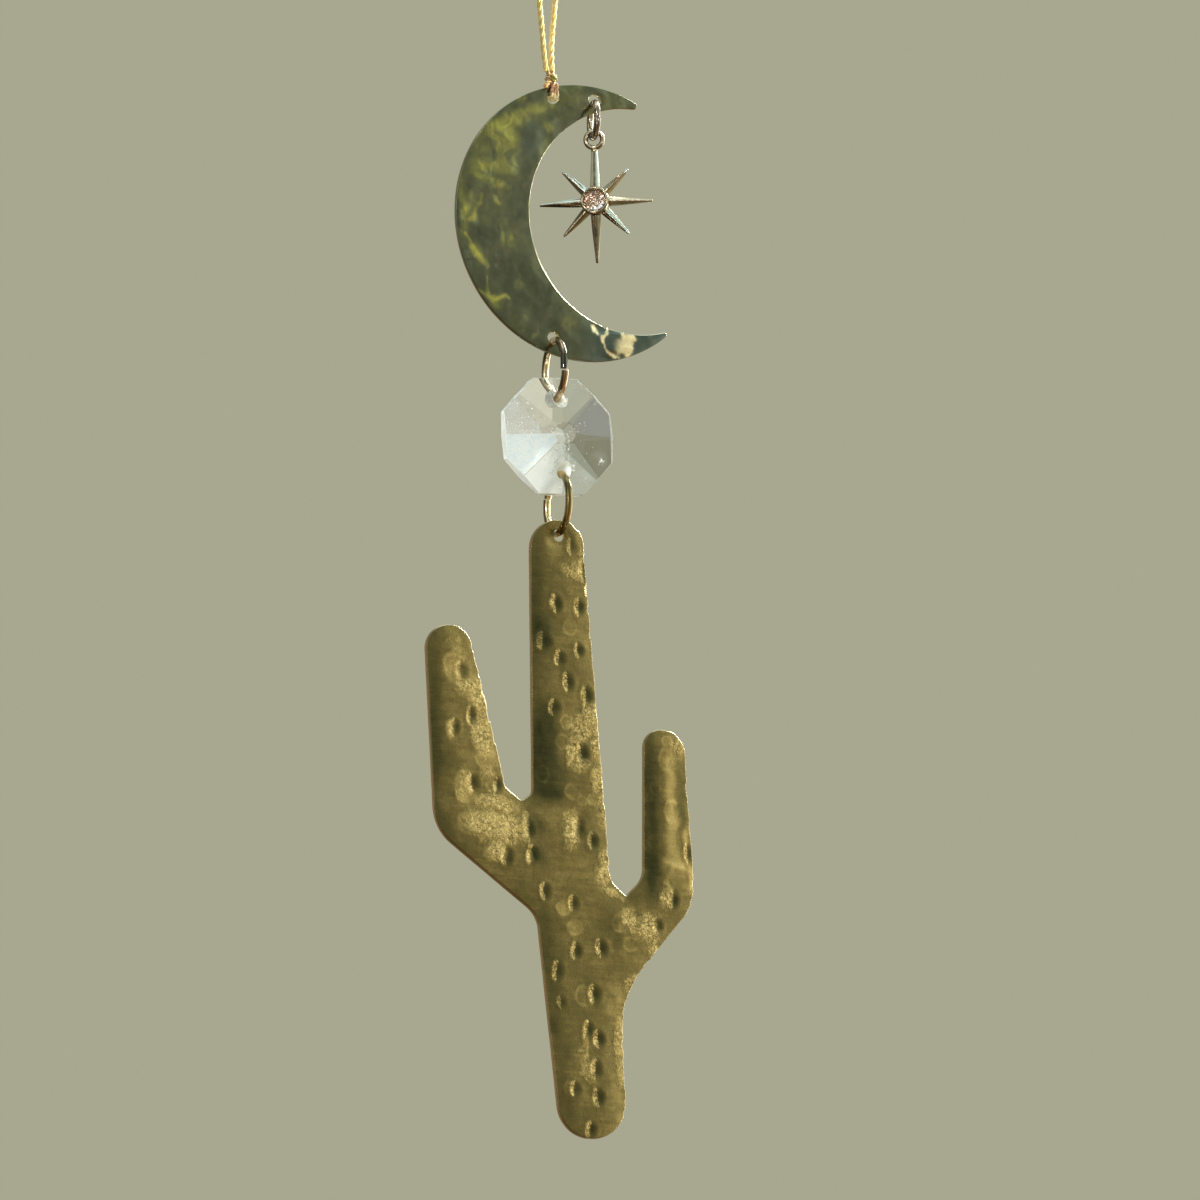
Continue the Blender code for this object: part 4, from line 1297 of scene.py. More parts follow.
# round marks where the punch only kissed the sheet: x, z, half width, half height
KISSES = (
    (1.00, -11.1, 0.85, 0.95),
    (0.50, -22.6, 0.72, 0.80),
    (-0.05, -25.0, 0.80, 0.85),
    (1.35, -30.8, 0.95, 0.95),
    (4.30, -29.0, 0.55, 0.60),
    (3.90, -31.6, 0.62, 0.62),
    (-2.60, -29.1, 0.85, 1.00),
    (2.60, -31.9, 0.60, 0.60),
    (0.10, -45.0, 0.85, 0.85),
    (1.60, -47.2, 0.95, 0.85),
    (7.50, -46.2, 1.00, 1.00),
    (8.90, -48.6, 0.90, 0.80),
    (-10.40, -28.0, 0.85, 0.95),
    (-12.60, -31.5, 1.45, 1.80),
    (-14.20, -17.2, 1.30, 1.70),
    (-9.30, -31.1, 0.70, 0.65),
    (-12.60, -35.8, 1.10, 1.30),
    (-8.00, -35.6, 0.90, 0.90),
    (13.55, -25.9, 0.85, 1.45),
    (13.75, -23.7, 0.60, 0.60),
    (12.20, -29.5, 0.70, 0.80),
    (14.30, -32.1, 0.85, 1.35),
    (12.00, -36.0, 0.70, 0.80),
    (15.30, -40.5, 1.50, 1.80),
    (1.10, -66.6, 0.90, 0.85),
    (2.90, -55.4, 1.20, 1.20),
)
# where the sheet's skin is crackled and bright: x, z, half width, half height, turn, how much
GRAINY = (
    (1.5, -4.2, 1.5, 0.9, 0, 0.55),
    (2.6, -2.0, 0.6, 1.2, 0, 0.55),
    (-1.2, -8.4, 0.4, 0.9, 0, 0.5),
    (4.0, -21.6, 1.1, 1.5, 15, 0.90),
    (4.6, -24.2, 0.7, 2.6, 3, 0.90),
    (2.2, -23.6, 1.3, 1.6, 0, 0.85),
    (1.1, -26.0, 0.45, 2.2, 0, 0.90),
    (2.3, -27.6, 1.0, 0.8, 0, 0.70),
    (5.0, -29.6, 0.75, 3.2, 3, 0.85),
    (5.3, -32.8, 0.6, 2.0, 8, 0.70),
    (1.1, -35.5, 1.1, 2.1, 0, 0.95),
    (5.6, -39.8, 0.85, 2.3, -8, 1.00),
    (6.6, -42.6, 1.5, 0.55, -28, 0.80),
    (-14.2, -14.6, 0.7, 1.8, 0, 0.18),
    (-12.5, -19.4, 1.8, 1.0, 0, 0.80),
    (-11.0, -20.8, 1.2, 2.0, 15, 0.85),
    (-10.7, -25.0, 1.3, 2.6, 14, 0.90),
    (-13.9, -17.6, 1.2, 2.0, 0, 0.30),
    (-14.6, -24.8, 1.0, 1.0, 0, 0.55),
    (-12.9, -31.6, 1.0, 2.0, 0, 0.50),
    (-9.6, -29.6, 1.0, 1.0, 0, 0.55),
    (-8.8, -33.2, 2.6, 1.0, -8, 0.85),
    (-10.4, -35.8, 2.4, 1.7, 0, 0.85),
    (-7.0, -36.2, 2.2, 1.8, 0, 0.90),
    (-8.6, -38.8, 1.4, 1.0, 0, 0.90),
    (-4.8, -36.0, 0.45, 1.9, 8, 1.00),
    (-4.5, -39.1, 0.5, 1.0, 0, 0.80),
    (9.0, -45.9, 0.8, 1.7, 25, 0.90),
    (11.2, -46.5, 1.4, 1.7, 0, 0.95),
    (13.6, -42.4, 0.9, 1.6, 0, 0.70),
    (11.9, -48.6, 0.7, 0.9, -35, 0.60),
    (15.2, -24.2, 0.8, 1.2, 0, 0.50),
    (8.9, -53.0, 0.5, 1.1, -30, 0.60),
    (7.4, -60.2, 0.6, 2.6, 2, 0.55),
    (7.9, -64.2, 0.45, 1.6, 0, 0.42),
    (3.0, -62.0, 0.6, 2.6, 0, 0.36),
    (3.3, -64.4, 0.9, 1.0, 0, 0.40),
)
# painted highlights: lighter places, x, z, half width, half height, turn, how much
SHINE = (
    (14.2, -27.6, 0.70, 3.4, 0, 0.22),
    (14.4, -34.8, 0.80, 4.2, 2, 0.25),
    (14.9, -38.3, 1.7, 0.5, -18, 0.30),
    (16.3, -35.6, 0.35, 1.6, 0, 0.30),
    (16.8, -40.0, 0.35, 1.8, 5, 0.30),
    (0.6, -9.0, 1.4, 1.0, 0, 0.06),
    (0.2, -45.0, 0.95, 0.95, 0, 0.20),
    (1.6, -47.2, 1.0, 0.9, 0, 0.07),
    (-1.0, -2.2, 1.6, 2.0, 0, 0.04),
    (0.0, -17.5, 2.0, 3.0, 0, 0.08),
    (7.0, -56.0, 1.2, 3.0, 0, 0.10),
    (7.6, -68.5, 0.9, 3.0, 8, 0.10),
    (-14.0, -21.0, 1.6, 2.4, 0, -0.06),
    (-1.0, -33.8, 3.0, 1.2, 4, 0.10),
    (2.0, -40.2, 4.0, 2.0, 0, 0.05),
    (-12.6, -24.0, 3.0, 11.0, 4, 0.09),
    (-9.0, -36.0, 4.5, 3.4, 0, 0.05),
    (14.0, -31.0, 2.4, 9.5, 0, 0.06),
)
# painted shade: darker places, the same columns
SHADE = (
    (-3.4, -8.0, 1.0, 8.0, 0, 0.20),
    (-3.3, -26.0, 1.1, 6.0, 0, 0.34),
    (-1.6, -24.0, 1.5, 3.6, 0, 0.34),
    (-1.4, -29.2, 1.9, 2.8, 0, 0.34),
    (-2.3, -11.8, 1.4, 2.2, 0, 0.32),
    (-1.2, -31.2, 2.2, 0.9, 0, 0.22),
    (1.2, -15.8, 1.4, 1.2, 0, 0.08),
    (-16.7, -24.0, 0.95, 11.0, 1, 0.27),
    (-15.0, -37.0, 0.9, 3.4, 30, 0.20),
    (-14.8, -28.5, 1.8, 2.2, 0, 0.08),
    (-3.3, -35.4, 1.0, 1.4, 0, 0.24),
    (-3.0, -38.9, 0.9, 1.2, 0, 0.24),
    (11.6, -31.0, 1.0, 9.0, 0, 0.36),
    (11.9, -40.0, 1.0, 3.0, 0, 0.34),
    (15.8, -31.0, 0.6, 4.6, 3, 0.20),
    (16.4, -27.0, 0.4, 1.6, 0, 0.16),
    (12.6, -33.5, 0.9, 6.0, 0, 0.16),
    (6.7, -46.0, 0.6, 1.1, 0, 0.16),
    (7.2, -48.3, 0.6, 1.0, 0, 0.16),
    (5.6, -47.2, 1.4, 1.1, 0, 0.08),
    (-0.9, -59.4, 0.7, 1.1, 0, 0.16),
    (0.8, -62.2, 0.5, 0.9, 0, 0.12),
    (-0.6, -57.0, 0.9, 9.0, 6, 0.12),
    (0.6, -68.0, 0.9, 3.2, 10, 0.10),
    (5.6, -66.0, 0.8, 2.4, 0, 0.08),
    (-2.2, -50.0, 0.8, 5.0, 6, 0.12),
)
LEFT_SIDE, RIGHT_SIDE, FOOT_Z = 0.46, 1.06, -44.0


def dent_shape(x, z):
    """Depth field of the dents, their steep left wall and their gentle right floor."""
    deep = np.zeros_like(x)
    steep = np.zeros_like(x)
    floor = np.zeros_like(x)
    ragged = 0.10 * field(x, z, 0.35, 91) + 0.06 * field(x, z, 0.18, 92)
    for i, (cx, cz, wide, tall, depth) in enumerate(DENTS):
        near = (np.abs(x - cx) < 2.6) & (np.abs(z - cz) < 2.6)
        if not near.any():
            continue
        lean = math.radians(7.0 * math.sin(i * 2.4))
        dx = x[near] - cx + 0.28 * wide
        dz = z[near] - cz
        u = dx * math.cos(lean) + dz * math.sin(lean)
        v = (-dx * math.sin(lean) + dz * math.cos(lean)) / (1.02 * tall)
        rag = ragged[near]
        u = np.where(u < 0, u / (LEFT_SIDE * wide), u / (RIGHT_SIDE * wide)) + 0.35 * rag
        q = u * u + v * v
        bowl = np.where(q < 1, (1 - np.clip(q, 0, 1)) ** 2, 0.0)
        rim = np.exp(-((np.sqrt(q) - 1.22) ** 2) / 0.05)
        deep[near] += depth * (0.150 * bowl - 0.022 * rim)
        steep[near] = np.maximum(steep[near], depth * np.where(u < 0.12, smooth01((1.25 - q) / 0.5), 0.0))
        floor[near] = np.maximum(floor[near], depth * np.exp(-(((u - 0.56) / 0.50) ** 2 + (v / 0.86) ** 2)))
    return deep, steep, floor


def kiss_shape(x, z):
    inner, outline = np.zeros_like(x), np.zeros_like(x)
    for cx, cz, rx, rz in KISSES:
        near = (np.abs(x - cx) < 2.6) & (np.abs(z - cz) < 2.8)
        if not near.any():
            continue
        q = np.hypot((x[near] - cx) / rx, (z[near] - cz) / rz) + 0.07 * field(x[near], z[near], 0.5, 95)
        inner[near] = np.maximum(inner[near], 1 - smooth01((q - 0.80) / 0.25))
        outline[near] = np.maximum(outline[near], np.exp(-((q - 1.0) ** 2) / 0.022))
    return inner, outline


def across_limb(x, z, away):
    """The sheet is a little crowned across each limb."""
    return 1 - (1 - np.clip(away / 3.2, 0, 1)) ** 2


def grain_mask(x, z):
    bx = x + 0.45 * layered(x, z, 1.1, 86)
    bz = z + 0.45 * layered(x, z, 1.1, 87)
    mask = np.zeros_like(x)
    for cx, cz, rx, rz, turn, amp in GRAINY:
        mask = np.maximum(mask, amp * blob(bx, bz, cx, cz, rx, rz, turn, 1.8))
    return mask


def cactus_relief(x, z, away):
    broad = 0.038 * layered(x, z, 5.5, 71, 2)
    h = 0.016 * layered(x, z, 1.5, 75, 2)
    deep, steep, floor = dent_shape(x, z)
    inner, outline = kiss_shape(x, z)
    grain = grain_mask(x, z)
    h = h + 0.012 * outline - 0.010 * inner - deep
    h += grain * 0.020 * (field(x, z, 0.36, 77) + 0.7 * field(x, z, 0.2, 78))
    calm = quiet_near(x, z, [CACTUS_HOLE])
    crown = 0.20 * across_limb(x, z, away) * (0.3 + 0.7 * calm)
    h = h * (0.2 + 0.8 * calm)
    broad = broad * (0.2 + 0.8 * calm)
    # the sheet keeps its thickness: the back follows the crown, and shows the dents as soft bumps
    return crown + broad + h, -0.9 * crown - 0.9 * broad + 0.4 * deep * calm - 0.3 * h * (deep < 0.01)


def cactus_tones(x, z, away):
    deep, steep, floor = dent_shape(x, z)
    inner, outline = kiss_shape(x, z)
    grain = grain_mask(x, z)
    bx = x + 0.40 * layered(x, z, 1.6, 83)
    bz = z + 0.40 * layered(x, z, 1.6, 85)
    tone = 0.44 + 0.05 * layered(x, z, 3.6, 81) + 0.03 * field(x * 0.25, z, 0.35, 82)
    # painted highlights and painted shade
    for cx, cz, rx, rz, turn, amp in SHINE:
        tone = tone + amp * blob(bx, bz, cx, cz, rx, rz, turn, 1.5)
    for cx, cz, rx, rz, turn, amp in SHADE:
        tone = tone - amp * blob(bx, bz, cx, cz, rx, rz, turn, 1.5)
    tone = 0.45 + 0.76 * (tone - 0.44)
    tone = tone + 0.19 * grain + 0.16 * outline * (0.60 + 0.40 * field(x, z, 0.9, 98)) + 0.05 * inner
    # painted shade on each dent's gentle floor, painted highlight on its steep left wall
    tone = tone * (1 - 0.60 * floor) + 0.28 * steep * (0.65 + 0.5 * field(x, z * 0.6, 0.28, 97))
    return {
        "tone": np.clip(tone, 0, 1),
        # grain also carries the painted highlight on the dents' steep walls
        "grain": np.clip(np.maximum(grain, 0.8 * steep), 0, 1),
    }


def hand_cut(outline):
    """The sheet's right-hand edges wander a little, always inwards."""
    ring = evenly(outline, 0.10)
    ahead, behind = np.roll(ring, -1, 0), np.roll(ring, 1, 0)
    along = ahead - behind
    along /= np.linalg.norm(along, axis=1)[:, None]
    out = np.stack([along[:, 1], -along[:, 0]], 1)
    area = 0.5 * np.sum(ring[:, 0] * ahead[:, 1] - ahead[:, 0] * ring[:, 1])
    out *= np.sign(area)
    x, z = ring[:, 0], ring[:, 1]
    wave = 0.5 + 0.5 * layered(x, z, 1.5, 41, 2)
    nick = smooth01((field(x, z, 1.0, 44) - 0.35) / 0.4)
    amount = (0.10 * wave + 0.12 * nick) * smooth01((out[:, 0] - 0.25) / 0.5)
    amount += 0.015 * (0.5 + 0.5 * field(x, z, 0.9, 45))
    return [Vector(p) for p in (ring - out * amount[:, None])]


grid_cactus = 0.20
cactus = plate(
    "cactus_hammered",
    hand_cut(rounded(CACTUS_SIDES, 0.10)),
    [circle(*CACTUS_HOLE)],
    grid_cactus,
    cactus_relief,
    cactus_tones,
    # painted highlight along the rim: full at the left, the tops and the right notch, a quarter elsewhere
    lambda x, z: np.where((x < -3.0) | (z > -3.0) | ((x > 12.0) & (z > -24.5)) | ((x > 5.0) & (x < 9.6) & (z < -41.0) & (z > -44.6)), 1.0, 0.25),
)
cactus.location = cactus_at * MM
finish_piece(cactus, cactus_brass, "cactus_brass", "cactus")


# ---------------------------------------------------------------- jump rings
def jump_ring(name, size, centre, yaw, lean, slit_at, mat, node_name, tone, step_out=0.06, gap=0.14, seed=0):
    """A wire ring whose cut ends stand a little out of line."""
    radius = (size[0] - size[1]) / 2
    gap = gap / radius
    count = 150
    turn = Matrix.Rotation(math.radians(yaw), 3, "Z") @ Matrix.Rotation(math.radians(lean), 3, "Y")
    points = []
    for i in range(count):
        t = i / (count - 1)
        a = math.radians(slit_at) + gap / 2 + (2 * math.pi - gap) * t
        out = step_out * (math.exp(-((t / 0.07) ** 2)) - math.exp(-(((1 - t) / 0.07) ** 2)))
        wave = 0.012 * math.sin(5 * a + seed) + 0.008 * math.sin(11 * a + 2 * seed)
        points.append(
            tuple(centre + turn @ Vector((out, (radius + wave) * math.cos(a), (radius + wave) * math.sin(a))))
        )
    obj = mesh_from(name, [tube(points, size[1] / 2, 24, end_round=0.045)], sharp=40)
    p = places(obj) - np.array(centre)
    # the tone paints the wire's reflections and shade
    put_values(obj, "tone", np.clip(tone(p[:, 0], p[:, 1] / radius, p[:, 2] / radius), 0, 1))
    return finish_piece(obj, mat, "ring_metal", node_name)


def far_arm(x, y, swing, thick):
    """The far arm gets a painted highlight, with a painted dark reflection along its left side."""
    return 0.22 + 0.78 * smooth01(((x - swing * y) / (thick / 2) + 0.86) / 0.14)


# painted reflections on the upper ring: the near arm dark above the cut with a painted highlight streak at its left,
# lighter below, and a painted highlight over the top
def upper_tone(x, y, z):
    front = smooth01((0.15 - y) / 0.3)
    above = smooth01((z + 0.19) / 0.03)
    right = smooth01(((x - 0.42 * y) / (RING_UP[1] / 2) + 0.35) / 0.5)
    streak = 0.30 * (1 - right) * smooth01((z - 0.25) / 0.25)
    near = (0.07 + 0.32 * smooth01((y + 0.32) / 0.3) + streak) * above + (0.55 * (0.40 + 0.60 * right) + 0.28 * smooth01((-z - 0.78) / 0.12)) * (1 - above)
    return 0.98 * (1 - front) * far_arm(x, y, 0.42, RING_UP[1]) + front * near + 0.32 * smooth01((z - 0.74) / 0.2)


# painted reflections on the lower ring: the near arm darker above the middle, with painted highlights at the top and
# lower down
def lower_tone(x, y, z):
    front = smooth01((0.05 - y) / 0.3)
    near = 0.31 + 0.42 * smooth01((z - 0.72) / 0.3) - 0.16 * np.exp(-(((z - 0.47) / 0.24) ** 2)) + 0.15 * np.exp(-(((z + 0.5) / 0.3) ** 2))
    return 1.0 * (1 - front) * far_arm(x, y, 0.27, RING_LOW[1]) + front * near


# painted reflections on the star's ring: the near arm lighter at the top and darker on its right
def star_ring_tone(x, y, z):
    front = smooth01((0.05 - y) / 0.3)
    return 0.90 * (1 - front) * far_arm(x, y, 0.50, RING_STAR[1]) + front * (0.42 + 0.20 * smooth01((z - 0.5) / 0.3) - 0.12 * smooth01((x - 0.1) / 0.2))


jump_ring("upper_ring_wire", RING_UP, up_centre, -6.8, -1.5, 191.0, upper_wire, "upper_ring", upper_tone, 0.085, seed=1)
jump_ring(
    "lower_ring_wire", RING_LOW, low_centre, -4.3, -0.4, 20.0, lower_wire, "lower_ring", lower_tone, 0.03, 0.10, seed=2
)
jump_ring(
    "star_ring_wire",
    RING_STAR,
    star_ring_centre,
    -13.8,
    0.0,
    185.0,
    star_wire,
    "star_ring",
    star_ring_tone,
    0.03,
    0.10,
    seed=3,
)


# ---------------------------------------------------------------- glass octagon
def hull(points):
    bm = bmesh.new()
    for p in points:
        bm.verts.new(Vector(p) * MM)
    bmesh.ops.convex_hull(bm, input=list(bm.verts))
    bmesh.ops.delete(bm, geom=[v for v in bm.verts if not v.link_faces], context="VERTS")
    bmesh.ops.dissolve_limit(bm, angle_limit=math.radians(0.4), verts=list(bm.verts), edges=list(bm.edges))
    bmesh.ops.recalc_face_normals(bm, faces=list(bm.faces))
    return bm


def chamfered(bm, width):
    """The corner points of every face drawn in by that width, for a hull with its edges just broken."""
    points = []
    for face in bm.faces:
        verts = [v.co / MM for v in face.verts]
        for i, v in enumerate(verts):
            before = (v - verts[i - 1]).normalized()
            after = (verts[(i + 1) % len(verts)] - v).normalized()
            m, n = face.normal.cross(before), face.normal.cross(after)
            points.append(v + (m + n) * (width / (1 + m.dot(n))))
    return points


def drill(across, segments=48):
    """A hole along Y with a small ground countersink at both mouths."""
    surface = glass_half(GLASS_HOLE_AT)
    profile = [(-surface - 0.90, HOLE_R + 1.05), (-surface + 0.40, HOLE_R), (surface - 0.40, HOLE_R)]
    profile.append((surface + 0.90, HOLE_R + 1.05))
    bm = bmesh.new()
    rows = []
    for y, r in profile:
        row = []
        for k in range(segments):
            a = 2 * math.pi * k / segments
            row.append(bm.verts.new(Vector((across[0] + r * math.cos(a), y, across[1] + r * math.sin(a))) * MM))
        rows.append(row)
    for one, two in zip(rows, rows[1:]):
        for k in range(segments):
            bm.faces.new((one[k], one[(k + 1) % segments], two[(k + 1) % segments], two[k]))
    bm.faces.new(rows[0])
    bm.faces.new(rows[-1])
    bmesh.ops.recalc_face_normals(bm, faces=list(bm.faces))
    mesh = bpy.data.meshes.new("drill")
    bm.to_mesh(mesh)
    bm.free()
    return new_object("drill", mesh)


def boolean_all(obj, others, operation):
    """Applies each Boolean in turn and removes its cutter."""
    for other in others:
        mod = obj.modifiers.new("b", "BOOLEAN")
        mod.operation, mod.solver, mod.object = operation, "EXACT", other
        bpy.context.view_layer.update()
        dg = bpy.context.evaluated_depsgraph_get()
        made = bpy.data.meshes.new_from_object(obj.evaluated_get(dg))
        obj.modifiers.clear()
        old, obj.data = obj.data, made
        bpy.data.meshes.remove(old)
        bpy.data.objects.remove(other)
    return obj


corners = []
for side in (-1.0, 1.0):
    for i in range(8):
        middle = math.pi / 4 * i
        corner = middle + math.pi / 8
        for r, a, y in (
            (GLASS_TABLE / math.cos(math.pi / 8), middle, GLASS_HALF),
            (GLASS_FLATS / 2, middle, glass_half(GLASS_FLATS / 2)),
            (GLASS_FLATS / 2 / math.cos(math.pi / 8), corner, GLASS_CORNER_HALF),
        ):
            corners.append((r * math.cos(a), side * y, r * math.sin(a)))
sharp = hull(corners)
bm = hull(chamfered(sharp, 0.05))
sharp.free()
mesh = bpy.data.meshes.new("crystal")
bm.to_mesh(mesh)
bm.free()
crystal = new_object("crystal_cut", mesh)
boolean_all(crystal, [drill((0.0, GLASS_HOLE_AT)), drill((0.0, -GLASS_HOLE_AT))], "DIFFERENCE")
for poly in crystal.data.polygons:
    c = poly.center / MM
    # the front facet towards the lower left carries a film of dust
    if poly.normal.y < -0.9 and poly.area > 2.0 * MM * MM:
        faces_to = math.degrees(math.atan2(poly.normal.z, poly.normal.x)) % 360
        if 190.0 < faces_to < 215.0:
            poly.material_index = 2
        elif 235.0 < faces_to < 260.0:
            poly.material_index = 3
    for at in (GLASS_HOLE_AT, -GLASS_HOLE_AT):
        radial = Vector((c.x, 0.0, c.z - at))
        if 0.2 < radial.length < HOLE_R + 0.60 and poly.normal.dot(radial.normalized()) < -0.35:
            poly.material_index = 1
            poly.use_smooth = True
    # the broken edges round its rim are chipped and dull
    if math.hypot(c.x, c.z) > 6.75:
        poly.material_index = 1
crystal.rotation_euler = (0, -glass_roll, 0)
crystal.location = glass_centre * MM
finish_piece(crystal, [clear_glass, ground_glass, dusty_glass, powdered_glass], "clear_glass", "crystal_octagon")

# specks of dust on its front
rng = np.random.default_rng(19)
specks = []
glass_turn = Matrix.Rotation(-glass_roll, 3, "Y")
# where it lies: x, z, half width, half height, how much
drifts = (
    (-5.0, 1.7, 2.0, 1.4, 0.27),
    (-4.4, 1.0, 1.5, 0.8, 0.50),
    (-3.2, 0.9, 0.9, 0.6, 0.40),
    (-1.0, -0.10, 1.5, 0.19, 1.00),
    (0.36, -1.3, 0.17, 1.4, 1.00),
    (1.5, 0.6, 0.6, 0.9, 0.28),
    (-0.5, -2.5, 1.0, 0.9, 0.20),
    (-1.3, -5.1, 1.6, 1.1, 0.32),
    (2.8, 1.0, 0.5, 0.5, 0.14),
    (-4.6, 3.6, 1.2, 0.8, 0.20),
    (2.8, -5.4, 0.7, 0.5, 0.34),
    (-4.6, -2.2, 1.8, 1.6, 0.10),
    (2.6, 5.9, 0.3, 0.3, 0.45),
)
# chipped, powdery spots: x, z, spread, how many, size
clumps = (
    (5.3, -2.95, 0.15, 34, 0.11),
    (1.1, -4.0, 0.22, 50, 0.10),
    (3.9, -1.4, 0.03, 3, 0.10),
    (2.8, -5.4, 0.32, 26, 0.08),
    (-2.2, -0.12, 0.10, 4, 0.13),
    (-1.75, -0.06, 0.10, 4, 0.12),
    (-1.3, -0.14, 0.10, 4, 0.13),
    (-0.8, -0.05, 0.10, 4, 0.12),
    (-0.35, -0.12, 0.10, 4, 0.13),
    (0.1, -0.08, 0.10, 4, 0.13),
    (0.36, -0.45, 0.06, 4, 0.14),
    (0.40, -0.95, 0.06, 4, 0.13),
    (0.35, -1.45, 0.06, 4, 0.13),
    (0.38, -2.0, 0.07, 5, 0.15),
    (0.42, -2.7, 0.07, 4, 0.13),
    (1.25, 0.95, 0.10, 2, 0.12),
    (1.6, 0.35, 0.12, 3, 0.11),
    (2.1, 1.2, 0.12, 2, 0.11),
    (2.7, 0.9, 0.12, 3, 0.12),
    (3.1, 1.35, 0.12, 2, 0.12),
    (1.2, 0.1, 0.10, 2, 0.12),
    (-4.7, 3.5, 0.50, 22, 0.09),
    (-5.6, 2.4, 0.40, 14, 0.09),
)


def speck(x, z, size, spin):
    """A flake on the front face of the glass there, or None off the glass and over the holes."""
    angle = math.atan2(z, x)
    near = round((angle - math.pi / 8) / (math.pi / 4)) * math.pi / 4 + math.pi / 8
    reach = math.hypot(x, z) * math.cos(angle - near)
    side = round(angle / (math.pi / 4)) * math.pi / 4
    if math.hypot(x, z) * math.cos(angle - side) > 6.8:
        return None
    if min(math.hypot(x, z - GLASS_HOLE_AT), math.hypot(x, z + GLASS_HOLE_AT)) < HOLE_R + 0.12:
        return None
    y = -min(GLASS_HALF, GLASS_HALF - slope * (reach - GLASS_TABLE))
    verts, faces = [], []
    for a in range(5):
        r = size * (0.75 + 0.25 * math.sin(2.4 * a + spin))
        verts.append((x + r * math.cos(spin + a * 1.2566), y - 0.02 * size, z + r * math.sin(spin + a * 1.2566)))
    verts += [(x, y - size * 0.75, z), (x, y + size * 0.5, z)]
    for a in range(5):
        faces += [(a, (a + 1) % 5, 5), ((a + 1) % 5, a, 6)]
    return [tuple(glass_centre + glass_turn @ Vector(v)) for v in verts], faces


for k in range(7200):
    x, z = rng.uniform(-6.9, 6.9), rng.uniform(-6.9, 6.9)
    chance = 0.008 + sum(a * math.exp(-(((x - i) / w) ** 2) - (((z - j) / h) ** 2)) for i, j, w, h, a in drifts)
    keep, size, spin = rng.uniform(), 0.042 + 0.075 * rng.uniform() ** 2.0, rng.uniform(0, 6.28)
    if keep < chance:
        specks.append(speck(x, z, size, spin))
for cx, cz, spread, count, size in clumps:
    for k in range(count):
        x, z = rng.normal(cx, spread), rng.normal(cz, spread * 1.25)
        specks.append(speck(x, z, size * rng.uniform(0.5, 1.0), rng.uniform(0, 6.28)))
specks = [one for one in specks if one]
dust = mesh_from("crystal_dust", specks, smooth=False)
finish_piece(dust, glass_dust, "clear_glass")


# ---------------------------------------------------------------- star charm
def lathe(profile, count=64):
    """A turned shape about the Y axis from (radius, y) pairs; the ends are on the axis."""
    verts, faces = [], []
    rings = []
    for r, y in profile:
        if r <= 1e-6:
            rings.append([len(verts)])
            verts.append((0.0, y, 0.0))
        else:
            rings.append(list(range(len(verts), len(verts) + count)))
            verts.extend(
                (r * math.cos(2 * math.pi * i / count), y, r * math.sin(2 * math.pi * i / count)) for i in range(count)
            )
    for a, b in zip(rings, rings[1:]):
        for i in range(count):
            j = (i + 1) % count
            if len(a) == 1:
                faces.append((a[0], b[i], b[j]))
            elif len(b) == 1:
                faces.append((a[i], b[0], a[j]))
            else:
                faces.append((a[i], b[i], b[j], a[j]))
    return verts, faces


